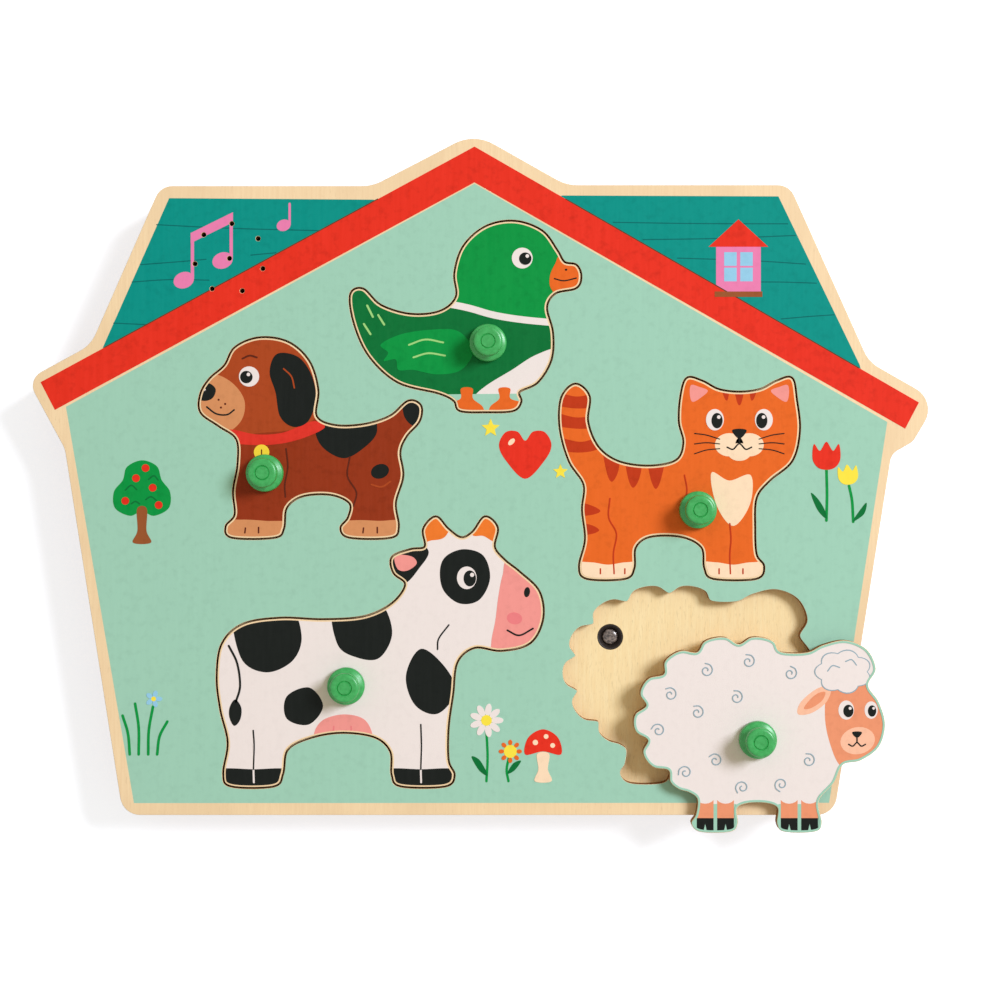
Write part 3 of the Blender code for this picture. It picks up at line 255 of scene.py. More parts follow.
def paint(red, green, blue):
    """A colour as printed, each part from 0 to 255, for a shader."""
    return (*Color((red / 255, green / 255, blue / 255)).from_srgb_to_scene_linear(), 1.0)


def shaded(colour, share):
    """A darker colour."""
    return [channel * share for channel in colour[:3]] + [1.0]


def spot(tree):
    """Where on the object a point of the surface is, in metres."""
    return add(tree, "TexCoord", {}).outputs["Object"]


def grain(tree, along=70.0, across=1300.0):
    """Fine fibres that run up the sheet, from 0 to 1."""
    stretch = add(tree, "Mapping", {"Vector": spot(tree), "Scale": (across, along, across)})
    return add(
        tree, "TexNoise",
        {"Vector": stretch.outputs[0], "Scale": 1.0, "Detail": 3.0, "Roughness": 0.6},
    ).outputs["Fac"]


def clouds(tree, scale, detail=2.0):
    """Soft patches from 0 to 1, scale of them to a metre."""
    return add(
        tree, "TexNoise",
        {"Vector": spot(tree), "Scale": scale, "Detail": detail, "Roughness": 0.55},
    ).outputs["Fac"]


def blended(tree, share, low, high, first, second):
    """The first colour where share is under low, the second where it is over high."""
    ramp = add(tree, "MapRange", {"Value": share, "From Min": low, "From Max": high})
    mix = add(tree, "Mix", {"Factor": ramp.outputs[0], "A": first, "B": second}, data_type="RGBA")
    return mix.outputs["Result"]


def plain_finish(name, roughness, metallic=0.0, **sockets):
    """A new material, its node tree and its shader."""
    finish = bpy.data.materials.new(name)
    finish.use_nodes = True
    skin = finish.node_tree.nodes["Principled BSDF"]
    skin.inputs["Roughness"].default_value = roughness
    skin.inputs["Metallic"].default_value = metallic
    for socket, value in sockets.items():
        skin.inputs[socket.replace("_", " ")].default_value = value
    return finish, finish.node_tree, skin


def cover(tree, skin, colour, relief=None, strength=0.0, depth=0.0):
    """Joins a colour to the shader, and a relief of some depth in metres if there is one."""
    tree.links.new(colour, skin.inputs["Base Color"])
    if relief is not None:
        bump = add(tree, "Bump", {"Height": relief, "Strength": strength, "Distance": depth})
        tree.links.new(bump.outputs["Normal"], skin.inputs["Normal"])


def birch(name, pale, dark):
    """Sanded birch: fine upright fibres, pale clouds and short dark pores."""
    finish, tree, skin = plain_finish(name, 0.55, Specular_IOR_Level=0.35)
    fibre = grain(tree)
    tone = blended(tree, fibre, 0.3, 0.72, pale, dark)
    cloudy = blended(tree, clouds(tree, 38.0), 0.42, 0.85, tone, shaded(dark, 0.93))
    pored = blended(tree, grain(tree, 300.0, 2600.0), 0.62, 0.8, cloudy, shaded(dark, 0.82))
    cover(tree, skin, pored, fibre, 0.25, 0.0002)
    return finish


PLY_WOBBLE = 0.0003
GLUE_LINE = (0.0001, 0.0002)


def plies(tree, pale, dark, ply):
    """The colour of a cut through plywood, with a dark line at each glue layer, ply mm apart."""
    height = add(tree, "SeparateXYZ", {0: spot(tree)}).outputs["Z"]
    wavy = reckon(tree, "ADD", height, reckon(tree, "MULTIPLY", clouds(tree, 60.0), PLY_WOBBLE))
    layer = reckon(tree, "MODULO", wavy, ply * MM)
    pair = reckon(tree, "MODULO", wavy, 2 * ply * MM)
    crossed = blended(tree, pair, ply * MM * 0.98, ply * MM * 1.02, pale, shaded(pale, 0.74))
    glue = blended(tree, layer, *GLUE_LINE, dark, crossed)
    upright = add(tree, "Mapping", {"Vector": spot(tree), "Scale": (1500.0, 1500.0, 90.0)})
    scorch = add(tree, "TexNoise", {"Vector": upright.outputs[0], "Scale": 1.0, "Detail": 3.0})
    return blended(tree, scorch.outputs["Fac"], 0.52, 0.95, glue, dark)


def sawn(name, pale, dark, ply=1.3):
    """The laser's cut: browned plies, made darker than the browning alone as painted shade, so that
    the narrow gaps round the seated pieces read black.
    """
    finish, tree, skin = plain_finish(name, 0.75, Specular_IOR_Level=0.1)
    cover(tree, skin, plies(tree, pale, dark, ply))
    return finish


def ink(name, colour, mottle=0.05, roughness=0.45):
    """Silk-screened ink, through which the upright fibres of the birch show faintly."""
    finish, tree, skin = plain_finish(name, roughness, Specular_IOR_Level=0.1)
    deep = shaded(colour, 1 - 3 * mottle)
    light = [min(1.0, channel * (1 + mottle) + mottle / 20) for channel in colour[:3]] + [1.0]
    fibre = grain(tree, 55.0, 800.0)
    tone = blended(tree, fibre, 0.3, 0.72, light, colour)
    worn = blended(tree, clouds(tree, 420.0, 3.0), 0.5, 0.9, tone, deep)
    cover(tree, skin, worn, fibre, 0.12, 0.0001)
    return finish


BIRCH = birch("sanded_birch", paint(248, 220, 178), paint(241, 210, 168))
# The cut edges' colour is partly the laser's real browning and partly painted shade: it is darker
# so that the narrow gaps round the pieces look black.
SAWN = sawn("laser_browned_edge_and_painted_gap_shade", paint(164, 112, 66), paint(80, 52, 30))
STEEP = 0.4


def show_saw_cut(shape):
    """Gives the upright faces of a sheet the second finish of the object."""
    for face in shape.faces:
        face.material_index = int(abs(face.normal.z) < STEEP)


def cut_out(animal, marks):
    """The loose piece: bare birch with a hole from below for the knob's screw."""
    low, high = levels(f"{animal}_piece")
    place = middle(f"{animal}_knob")
    screw_low, screw_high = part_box(f"{animal}_knob_screw")
    bore = (screw_high.x - screw_low.x) / 2 / MM + SCREW_EASE
    shape = sheet(
        [moved(smooth(marks), place), oval(*place, bore)], low, high - INK_DEPTH, SHEET_RIM
    )
    show_saw_cut(shape)
    piece = placed(f"{animal}_cutout", shape, BIRCH, SAWN)
    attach(piece, animal)
    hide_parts(f"{animal}_piece")


def combined(shape, tools, operation):
    """The shape kept inside its tools or cut by them, all of them closed bmeshes."""
    solids = []
    for part in (shape, *tools):
        mesh = bpy.data.meshes.new("solid")
        part.to_mesh(mesh)
        part.free()
        solids.append(bpy.data.objects.new("solid", mesh))
        bpy.context.scene.collection.objects.link(solids[-1])
    for tool in solids[1:]:
        cut = solids[0].modifiers.new("cut", "BOOLEAN")
        cut.operation, cut.solver, cut.object = operation, "EXACT", tool
    result = bmesh.new()
    result.from_mesh(solids[0].evaluated_get(bpy.context.evaluated_depsgraph_get()).to_mesh())
    for solid in solids:
        bpy.data.objects.remove(solid)
    return result


def printed(name, layers, bounds, base):
    """Ink films inside their bounds, as [(ink, [closed lines])] with the lowest first."""
    stack = bmesh.new()
    level_of = []
    for level, (_, lines) in enumerate(layers):
        for line in lines:
            low = 2 * len(level_of)
            film = sheet([line], low, low + 1)
            film_mesh = bpy.data.meshes.new("film")
            film.to_mesh(film_mesh)
            film.free()
            stack.from_mesh(film_mesh)
            bpy.data.meshes.remove(film_mesh)
            level_of.append(level)
    shape = combined(stack, [sheet(bounds, -1, 2 * len(level_of))], "INTERSECT")
    step = INK_DEPTH / len(layers)
    level_at = {}
    for vert in shape.verts:
        film = int(vert.co.z // 2)
        level_at[vert] = level_of[film]
        vert.co.z = base + (vert.co.z - 2 * film) * step * (level_of[film] + 1)
    for face in shape.faces:
        face.material_index = level_at[face.verts[0]]
    return placed(name, shape, *[finish for finish, _ in layers])


def print_on(animal, marks, layers, bare=BARE_RIM):
    """The animal's picture, short of the sawn edge by a bare rim."""
    place = middle(f"{animal}_knob")
    picture = printed(
        f"{animal}_picture",
        [(finish, [moved(line, place) for line in lines]) for finish, lines in layers],
        [moved(smooth(marks, -bare), place)], levels(f"{animal}_piece")[1] - INK_DEPTH,
    )
    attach(picture, animal)


MINT = ink("mint_ink", paint(160, 207, 186), 0.03)
LEAF = ink("leaf_green_ink", paint(2, 146, 64), 0.06)
FOREST = ink("forest_green_ink", paint(3, 110, 52), 0.06)
ORANGE = ink("orange_ink", paint(231, 104, 35), 0.05)
BLACK = ink("black_ink", paint(20, 24, 21), 0.05, 0.42)
WHITE = ink("white_ink", paint(240, 229, 227), 0.015)
PALE_LEAF = ink("pale_leaf_ink", paint(160, 212, 130), 0.04)
ALL_OVER = block(-60, -45, 75, 65)
cut_out("duck", DUCK)
print_on("duck", DUCK, [
    (LEAF, [ALL_OVER]),
    (FOREST, [smooth([
        (-50, 24), (-40, 20), (-30, 13.5), (-17, 13), (-7, 12.5), (3, 9.5), (13, 7.5), (26, 6),
        (29, -18), (0, -22), (-50, -20),
    ])]),
    (WHITE, [
        stroke([(-16, 13.6), (-7, 11.9), (2, 9.4), (12, 7.8), (25, 6.6)], 2.3),
        smooth([
            (24, -2), (25, -10), (16, -18), (4, -18.5), (-4, -18), (-0.5, -14.2), (8, -9), (16, -4),
        ]),
    ]),
    (MINT, [[(-16, -17.2), (14, -16.9), (14, -26), (-16, -26)]]),
    (ORANGE, [
        smooth([(-9, -15.2), (-5.2, -15.2), (-5, -18.6), (-1.6, -21.6), (-1.8, -26), (-14, -26),
                (-13, -20.6), (-9.2, -18.6)]),
        smooth([(3.6, -15.2), (7.4, -15.2), (7.6, -18.6), (13, -20.6), (13, -26), (1, -26),
                (0.6, -21.6), (3.8, -18.6)]),
        smooth([(22.5, 26.5), (25, 30), (34, 29), (34, 17), (25.4, 14.8), (21.2, 18.2),
                (20.8, 22.5)]),
    ]),
    (LEAF, [smooth([
        (-10, 4), (-19, 4.5), (-29, 3), (-36, -0.5), (-33.5, -3.2), (-35, -6), (-31, -5.5),
        (-30, -9), (-25, -9), (-17, -10.5), (-9, -9), (-5, -2.5),
    ])]),
    (BLACK, [
        stroke([(22.3, 21.6), (25.5, 20.9), (29.6, 21.8)], 0.45),
        oval(26.2, 24.6, 0.45, 0.35),
    ]),
    (PALE_LEAF, [
        *strokes(0.7, [(-40.5, 12.6), (-38.6, 8.8)], [(-36.8, 9.4), (-34.8, 6.2)],
                 [(-41.6, 6.4), (-39.4, 3.0)]),
        *strokes(0.6, [(-15, 0.2), (-21, 1.2), (-26.5, -0.6)],
                 [(-14.4, -4.2), (-20, -3.4), (-25, -4.8)]),
    ]),
    (WHITE, [oval(11.5, 28.5, 3.5)]),
    (BLACK, [oval(12.5, 28.3, 2.1)]),
    (WHITE, [oval(13.2, 29.2, 0.6)]),
])

# The dog is chestnut brown with a black ear and back patch, a tan muzzle and paws, and a
# red collar with a yellow tag. It is sawn and printed as the duck is.
DOG = [
    (-21.5, 26.5), (-21.5, 20.5), (-15.5, 16), (-9.5, 11.5), (-9, 3), (-10.5, -6), (-10, -14),
    (-13, -18), (-11, -21.4), (3, -21.4), (6, -18.5), (7, -11.5), (12.5, -7.5), (22, -7),
    (28.5, -10), (28, -15), (25.5, -18.5), (28.5, -21.4), (42, -21.4), (44.5, -18),
    (43.5, -10), (46, -1), (45, 7), (47.2, 12.5), (51.5, 17.5), (52, 22.5), (48, 24), (42, 19),
    (33.5, 16.2), (23.5, 15.8), (17, 19), (17.5, 28), (14.5, 37.5), (7.5, 43.8), (-2, 45.2),
    (-10, 42), (-13.5, 36), (-18.5, 31.5),
]
CHESTNUT = ink("chestnut_ink", paint(146, 51, 20), 0.07)
RUST = ink("rust_ink", paint(170, 70, 30), 0.06)
TAN = ink("tan_ink", paint(214, 144, 96), 0.04)
DARK_BROWN = ink("dark_brown_ink", paint(92, 34, 18), 0.06)
RED = ink("red_ink", paint(222, 52, 40), 0.07)
YELLOW = ink("yellow_ink", paint(250, 214, 64), 0.04)
cut_out("dog", DOG)
print_on("dog", DOG, [
    (CHESTNUT, [ALL_OVER]),
    (RUST, [smooth([
        (-23, 27), (-23, 19), (-15.5, 14.5), (-8, 13), (0, 13.6), (8, 14.4), (15, 17), (19, 22),
        (20, 30), (16, 40), (8, 47), (-3, 48), (-12, 44), (-17, 36),
    ])]),
    (BLACK, [
        smooth([(18, 18.5), (26, 22), (35, 22), (37.5, 14), (33, 8.4), (26.5, 5), (20, 8),
                (17, 13)]),
        oval(38.5, 0.6, 3.1, 2.4, 20),
        smooth([(46.5, 19.4), (50.4, 15.6), (55, 18), (55, 26), (47, 27)]),
    ]),
    (TAN, [
        smooth([(-12, 31), (-20, 33.5), (-26, 28), (-26, 19), (-15, 13.5), (-8.3, 17.2),
                (-7, 24.5)]),
        smooth([(-16, -16.4), (-8, -15.6), (0, -16), (9, -17), (9, -25), (-16, -25)]),
        smooth([(22, -17), (30, -15.8), (38, -16), (48, -16.4), (48, -25), (22, -25)]),
    ]),
    (RED, [smooth([
        (-12, 14.6), (-3, 13), (6, 13.6), (16, 17.4), (20, 15.4), (14, 12.2), (6, 10), (-3, 9.4),
        (-13, 10.6),
    ])]),
    (BLACK, [
        smooth([(4, 40), (11, 39), (15.5, 33), (17, 25), (14.5, 17.5), (9.5, 15.5), (5, 19),
                (3.5, 27), (1.5, 34)]),
        smooth([(-22.2, 29.4), (-19, 30.2), (-16.6, 28.2), (-17.6, 25.2), (-20.4, 24.2),
                (-22.6, 25.4)]),
        stroke([(-19.6, 22.2), (-16.4, 19.9), (-12.8, 19.6), (-10.4, 21.2)], 0.55),
    ]),
    (YELLOW, [oval(-1.2, 7.0, 2.6)]),
    (DARK_BROWN, [
        oval(-15.6, 24.6, 0.35), oval(-13.4, 23.2, 0.35), oval(-14.8, 22.0, 0.35),
        stroke([(-7.6, 38.4), (-5.2, 39.4), (-2.8, 38.8)], 0.6),
        *strokes(
            0.5, [(7, 8.2), (7.6, 2), (6.6, -3.8), (6.8, -8)],
            [(28.4, 5.4), (27.6, -1), (30.6, -6.4), (29.6, -11)],
            [(-6.6, -18.4), (-6.8, -20)], [(-2.2, -18.2), (-2.2, -20)],
            [(33, -18.4), (32.8, -20)], [(37.6, -18.2), (37.6, -20)],
        ),
        stroke([(-1.2, 7.8), (-1.2, 6.2)], 0.4),
    ]),
    (RUST, [
        stroke([(35.6, -3.8), (39, -4.6), (42, -2.8)], 0.6),
        stroke([(6.2, 35), (8.8, 32.4), (9.8, 28.6)], 0.5),
    ]),
    (WHITE, [oval(-5.4, 32.4, 3.4), oval(-20.6, 27.9, 0.7, 0.4, 20)]),
    (BLACK, [oval(-6.3, 32.2, 2.1)]),
    (WHITE, [oval(-5.6, 33.1, 0.6)]),
])

# The cat is orange with red-brown stripes, a pale bib and socks and pink inner ears. It
# faces forward and holds its tail up. It is sawn and printed as the duck is.
CAT = [
    (34, 26.5), (31.5, 16.5), (24, 10), (19.5, 4), (19, -6), (19.5, -15), (22, -19),
    (19.5, -22.9), (5.5, -22.9), (2.5, -19.5), (1.5, -12.5), (-5.5, -8.8), (-16, -8.8),
    (-21, -12.5), (-21.5, -19.5), (-24.5, -22.9), (-37, -22.9), (-39.5, -19), (-37.5, -10),
    (-38.5, 0), (-38, 8.5), (-43, 16.5), (-46, 27.5), (-45.5, 37.5), (-41, 42), (-36.5, 38),
    (-37, 29.5), (-33.5, 21), (-26.5, 16), (-16, 14.5), (-7, 16.5), (-4.5, 22.5), (-6, 29.5),
    (-5.5, 38), (-3.5, 44), (1.5, 43), (7, 40.2), (14, 39.3), (21, 40.2), (26.5, 43),
    (31.5, 44), (33, 37),
]
STRIPE = ink("stripe_ink", paint(190, 56, 20), 0.06)
PINK = ink("pink_ink", paint(242, 152, 146), 0.04)
CREAM = ink("cream_ink", paint(252, 222, 190), 0.03)
cut_out("cat", CAT)
print_on("cat", CAT, [
    (ORANGE, [ALL_OVER]),
    (STRIPE, [
        smooth([(-50, 40.2), (-41, 38), (-33, 39), (-33, 35), (-41, 34), (-50, 36)]),
        smooth([(-50, 33), (-41, 31), (-33, 31.4), (-33, 28), (-40.6, 27.2), (-50, 29)]),
        smooth([(-48, 24.4), (-39, 22.8), (-31, 25), (-33, 20.6), (-39.6, 19.2), (-47, 20.4)]),
        smooth([(-31.5, 21), (-26.5, 19), (-26.6, 13), (-28.8, 9.4), (-30.6, 13)]),
        smooth([(-24, 18), (-19, 17), (-19.4, 11), (-21.6, 7.4), (-23.4, 11)]),
        smooth([(-16.4, 17), (-11.4, 17), (-12.2, 10.6), (-14, 7), (-15.8, 10.6)]),
        smooth([(-41, 2.4), (-36, 1.6), (-32.6, -0.4), (-36, -1.8), (-41, -1.6)]),
        smooth([(-41, -4.4), (-36, -5), (-33, -6.8), (-36, -8.2), (-41, -8)]),
        smooth([(12.4, 42), (15.6, 42), (15, 37), (14, 35), (13, 37)]),
        smooth([(7.8, 42), (10.4, 42), (10.4, 38.2), (9.8, 36.6), (8.8, 38)]),
        smooth([(17.6, 42), (20.2, 42), (19.2, 38), (18.2, 36.6), (17.6, 38.2)]),
    ]),
    (PINK, [
        smooth([(-2.2, 41.8), (0.6, 41.2), (3.4, 40.0), (1.6, 38), (-1.6, 36.2), (-2.6, 38.6)]),
        smooth([(30.2, 41.8), (27.4, 41.2), (24.6, 40.0), (26.4, 38), (29.6, 36.2),
                (30.6, 38.6)]),
    ]),
    (CREAM, [
        smooth([(4.6, 12.4), (10.6, 9.8), (17.8, 11.6), (17.6, 2), (12, -5.4), (6.4, 1.4)]),
        smooth([(0, -18.2), (6, -17.6), (12, -18.4), (18, -17.6), (26, -18.2), (26, -27),
                (0, -27)]),
        smooth([(-44, -18.2), (-36, -17.6), (-30, -18.4), (-24, -17.6), (-18, -18.2), (-18, -27),
                (-44, -27)]),
        oval(10.6, 21.8, 4.8, 3.9), oval(17.4, 21.8, 4.8, 3.9),
    ]),
    (CREAM, [oval(14, 19.4, 4.0, 3.0)]),
    (STRIPE, strokes(
        0.5, [(10.8, -4.6), (11.2, -10), (10.8, -15), (11, -21.4)],
        [(-29.4, 3.8), (-29.8, -2.6), (-27.2, -8), (-28.2, -14.4), (-28, -21.4)],
        *([(x, -19.8), (x, -21.4)] for x in (7.2, 15.2, -32.6, -24.4)),
        [(-4.4, 11.6), (-3.6, 6), (-5.4, 0.6)],
    )),
    (BLACK, [
        smooth([(11.6, 26.7), (14, 27.2), (16.4, 26.7), (15.4, 24.8), (14, 23.9), (12.6, 24.8)]),
        stroke([(9.9, 21), (11.9, 20.3), (14, 22.2), (16.1, 20.3), (18.1, 21)], 0.5),
        *(stroke([(14 + side * 6.6, y), (14 + side * 11, (y + y_end) / 2 + 0.4),
                  (14 + side * 15, y_end)], 0.35)
          for side in (-1, 1) for y, y_end in ((23.7, 25.6), (22.1, 22.1), (20.5, 18.8))),
    ]),
    (WHITE, [oval(5.8, 30.2, 3.0, 3.6), oval(22.2, 30.2, 3.0, 3.6)]),
    (BLACK, [
        oval(6.5, 29.9, 1.9, 2.6), oval(21.5, 29.9, 1.9, 2.6),
        stroke([(14, 24.2), (14, 22.3)], 0.5),
    ]),
    (WHITE, [oval(7.1, 31.1, 0.6), oval(22.1, 31.1, 0.6)]),
])

# The cow is white with black patches, a pink muzzle and udder and short tan horns. It is
# the largest piece, and it is sawn and printed as the duck is.
COW = [
    (58, 38), (64.5, 31.5), (65.7, 22.5), (61.5, 14.5), (52, 12), (43, 13), (37, 8), (35.5, -3),
    (34, -14), (34, -25), (36, -30), (33, -33.5), (18.5, -33.5), (15.5, -30), (15, -22),
    (9.5, -17), (-2, -15.5), (-13, -17.5), (-20, -21.5), (-21.5, -29.5), (-24.5, -33.5),
    (-38.5, -33.5), (-41, -29.5), (-39.5, -19), (-42, -8), (-43.2, 3), (-41.5, 14),
    (-34.5, 20.5), (-22, 22.5), (-8, 22), (6, 23), (15.5, 27.5), (20, 34), (16, 38), (15.5, 43),
    (21.5, 45.5), (26.5, 46.5), (26, 52.5), (30, 56.5), (34, 52.5), (38.5, 49.5), (42.5, 51.5),
    (46.5, 56.5), (50.5, 53), (49.5, 46.5), (53, 42),
]
HORN = ink("horn_ink", paint(238, 122, 44), 0.05)
ROSE = ink("rose_ink", paint(236, 128, 132), 0.04)
cut_out("cow", COW)
print_on("cow", COW, [
    (WHITE, [ALL_OVER]),
    (HORN, [
        smooth([(24.5, 47.5), (28, 48.6), (33.5, 50.4), (36, 60), (22, 60), (22, 50)]),
        smooth([(42, 51), (46, 50.2), (51, 48), (56, 52), (54, 60), (42, 60)]),
    ]),
    (BLACK, [
        smooth([(12, 49), (22, 49), (27.6, 45.2), (24.6, 39.6), (19, 34), (11, 36)]),
        smooth([(33.4, 43.4), (39.4, 45.8), (46, 43.6), (48.2, 36), (44.6, 28.8), (38, 27.6),
                (32.6, 32), (31.4, 38.6)]),
        smooth([(-37, 26), (-20, 27), (-15, 17), (-18, 8.4), (-27, 4.5), (-35.4, 9.5)]),
        smooth([(-4, 27), (10, 29), (15.4, 18.4), (11.2, 9.4), (3.5, 9.5), (-3, 14)]),
        smooth([(25, 12.4), (33, 6.4), (36.6, -2), (30.6, -9.4), (23, -6.4), (20, 3.4)]),
        smooth([(-20, -3.6), (-12.4, -0.6), (-7.8, -6.8), (-12.6, -13), (-20, -11)]),
        smooth([(-44, -28.6), (-31, -28), (-18, -28.6), (-18, -38), (-44, -38)]),
        smooth([(12, -28.6), (25, -28), (38, -28.6), (38, -38), (12, -38)]),
    ]),
    (PINK, [
        smooth([(55, 43), (70, 44), (72, 8), (50, 8.6), (48.6, 14), (50, 22), (51, 30),
                (52.4, 37)]),
        smooth([(-10.4, -18), (-8.5, -12), (-1, -9.6), (6.4, -11.6), (8.4, -18.6), (-1, -21)]),
        smooth([(16.4, 43.6), (21.8, 43.4), (23.6, 41), (20.4, 38.6), (17.2, 39.2)]),
    ]),
    (ROSE, [
        *strokes(0.5, [(-4.2, -13.6), (-4.4, -16.4)], [(1.6, -13.6), (1.8, -16.4)]),
        oval(56.4, 22.6, 2.6, 2.0, -10),
    ]),
    (WHITE, strokes(
        0.6, [(-31.2, -19.6), (-30.9, -24), (-31.1, -28), (-31, -32.4)],
        [(25, -19.6), (25.2, -24), (25, -28), (25.1, -32.4)],
    )),
    (BLACK, [
        oval(60.6, 31.4, 1.0, 1.7, -8),
        stroke([(54, 18.6), (58, 16.9), (62.6, 19.2)], 0.6),
        *strokes(0.5, [(-31.2, -15), (-30.9, -20), (-31.1, -28)],
                 [(25, -13), (25.2, -20), (25, -28)]),
        stroke([(-39.4, 13.4), (-36.6, 7.6), (-35.6, 0), (-37, -5.4)], 0.7),
        smooth([(-37.2, -4.6), (-35.2, -7.4), (-35.6, -11.4), (-37.6, -13.4), (-39.2, -10.4),
                (-39, -7)]),
        stroke([(34.4, 20.4), (31, 15.8), (30.6, 12.2)], 0.5),
    ]),
    (WHITE, [oval(40.4, 36.2, 3.3, 3.8)]),
    (BLACK, [oval(41.4, 36, 2.1, 2.7)]),
    (WHITE, [oval(42.2, 37.2, 0.7)]),
])

# The sheep lies beside its window, half on the board's face. Its white fleece runs out in
# scallops inside a mint edge. It is sawn and printed as the duck is.
FLEECE_MIDDLE = Vector((-6, 6.5))
FLEECE_RADII = (34.6, 27.6)
FLEECE_START, FLEECE_END = 64.0, 248.0
SCALLOPS = 7
SCALLOP_SHAPE = ((0.0, 0.915), (0.25, 1.0), (0.5, 1.02), (0.75, 1.0))
fleece = [
    FLEECE_MIDDLE + reach * Vector((
        FLEECE_RADII[0] * math.cos(math.radians(angle)),
        FLEECE_RADII[1] * math.sin(math.radians(angle)),
    ))
    for scallop in range(SCALLOPS) for share, reach in SCALLOP_SHAPE
    for angle in [FLEECE_START + (FLEECE_END - FLEECE_START) * (scallop + share) / SCALLOPS]
]
SHEEP = [
    *fleece, (-20, -20), (-20.5, -25), (-22, -28), (-19, -30.8), (-9, -30.8), (-6.5, -28),
    (-6.5, -22.5), (0, -21), (6.5, -22.5), (6.5, -28), (9, -30.8), (19, -30.8), (21.5, -28),
    (20.5, -20.5), (25.5, -14.5), (28.5, -8.5), (34.5, -7), (40.5, -2.5), (42.6, 5),
    (40.5, 12.5), (37, 18), (39.5, 23.5), (36.5, 30), (29.5, 33), (22, 31.5), (16.5, 29),
]
SHEEP_BARE_RIM, SHEEP_MINT_BORDER = 0.2, 0.65
CURL_START, CURL_END, CURL_TURNS, CURL_STEPS = 0.5, 2.4, 1.3, 11
curl = [
    (CURL_START + (CURL_END - CURL_START) * share) * Vector((math.cos(angle), math.sin(angle)))
    for share in (k / CURL_STEPS for k in range(CURL_STEPS + 1))
    for angle in [math.tau * CURL_TURNS * share]
]
TUFT_DEPTH = 0.16


def fluff(x, y, across, high, tufts, steps=8):
    """A closed cloud of round tufts."""
    angles = [math.tau * k / (tufts * steps) for k in range(tufts * steps)]
    return [
        Vector((x + across * reach * math.cos(angle), y + high * reach * math.sin(angle)))
        for angle in angles
        for reach in [1 - TUFT_DEPTH * (1 - abs(math.sin(tufts * angle / 2)))]
    ]


PEACH = ink("peach_ink", paint(236, 150, 112), 0.04)
PALE_PEACH = ink("pale_peach_ink", paint(250, 192, 162), 0.04)
BLUE_GREY = ink("blue_grey_ink", paint(150, 172, 184), 0.03)
cut_out("sheep", SHEEP)
sheep_seat = middle("sheep_knob")
border = printed(
    "sheep_border", [(MINT, [moved(ALL_OVER, sheep_seat)])],
    [moved(smooth(SHEEP, -bare), sheep_seat)
     for bare in (SHEEP_BARE_RIM, SHEEP_BARE_RIM + SHEEP_MINT_BORDER)],
    levels("sheep_piece")[1] - INK_DEPTH,
)
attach(border, "sheep")
LEGS = (-20.2, -13.4, 7.8, 14.6)
LEG_WIDTH, HOOF_TOP, SOLE = 5.6, -26.2, -34
PAIR_LEFTS, PAIR_WIDTH, PAIR_TOP = (-23, 7), 16, -21.5
HEM_TUFT, HEM_HEIGHT = Vector((3.3, 2.6)), -18.8
HEM_START, HEM_END, HEM_STEPS = 212, 328, 6
hem = [
    Vector((LEG_WIDTH / 2, HEM_HEIGHT)) + HEM_TUFT * Vector((math.cos(angle), math.sin(angle)))
    for k in range(HEM_STEPS + 1)
    for angle in [math.radians(HEM_START + (HEM_END - HEM_START) * k / HEM_STEPS)]
]
print_on("sheep", SHEEP, [
    (WHITE, [ALL_OVER]),
    (MINT, [block(left, SOLE, left + PAIR_WIDTH, PAIR_TOP) for left in PAIR_LEFTS]),
    (PEACH, [
        smooth([(24, 19), (31, 20.5), (40, 19), (44.5, 12), (45.5, 4.6), (43, -4.5),
                (36, -10), (28.2, -9.2), (24.4, -2), (22.5, 8)]),
        *(moved([*hem, (LEG_WIDTH, SOLE), (0, SOLE)], (left, 0)) for left in LEGS),
    ]),
    (PALE_PEACH, [
        oval(33.4, -0.4, 5.8, 4.5, 12),
        smooth([(24.5, 17.5), (20, 17), (14.5, 12.5), (13.5, 8.5), (18, 8.8), (23, 12.5)]),
    ]),
    (BLACK, [block(left, SOLE, left + LEG_WIDTH, HOOF_TOP) for left in LEGS]),
    (MINT, [
        moved([(-0.9, -32), (0.9, -32), (0, -28.2)], (left + LEG_WIDTH / 2, 0)) for left in LEGS
    ]),
    (PEACH, [
        smooth([(22.6, 15.8), (19.8, 15.2), (16.6, 12.2), (15.6, 10.2), (18.2, 10.6), (21.6, 13)]),
    ]),
    (WHITE, [oval(37.9, 9.8, 2.2, 2.9), oval(29.6, 9.8, 2.6, 3.2)]),
    (BLUE_GREY, [fluff(28.6, 22.6, 9.7, 7.5, 7)]),
    (WHITE, [fluff(28.6, 22.6, 9.3, 7.1, 7)]),
    (BLACK, [
        oval(30.3, 9.5, 1.7, 2.1), oval(38.2, 9.5, 1.4, 1.9),
        smooth([(31.6, 2.4), (33.2, 2.7), (34.8, 2.4), (34.2, 1.2), (33.2, 0.6), (32.2, 1.2)]),
        stroke([(30.4, -1.6), (31.8, -2.2), (33.2, -1), (34.6, -2.2), (36, -1.6)], 0.45),
    ]),
    (BLACK, [stroke([(33.2, 0.9), (33.2, -0.9)], 0.45)]),
    (WHITE, [oval(30.9, 10.4, 0.5), oval(38.7, 10.4, 0.45)]),
    (BLUE_GREY, [
        *(stroke(moved(curl, place, turn=turn), 0.36) for *place, turn in (
            (-29, 15, 20), (-17, 23, -10), (-3, 26, 0), (-33, 3, 60), (-20, 9, 10),
            (-24, -11, 90), (-14, -7, 40), (-5, -16, 120), (11, 22, -20), (17, -7, 0),
            (8, -15, 150), (-7, 14, 0),
        )),
        *strokes(0.4, [(23.4, 22.8), (25, 24.6), (27.4, 24)],
                 [(29.4, 26), (31.4, 26.6), (33, 24.8)]),
    ]),
], SHEEP_BARE_RIM + SHEEP_MINT_BORDER)
ANIMALS = ("duck", "dog", "cat", "cow", "sheep")
OUTLINES = dict(zip(ANIMALS, (DUCK, DOG, CAT, COW, SHEEP)))

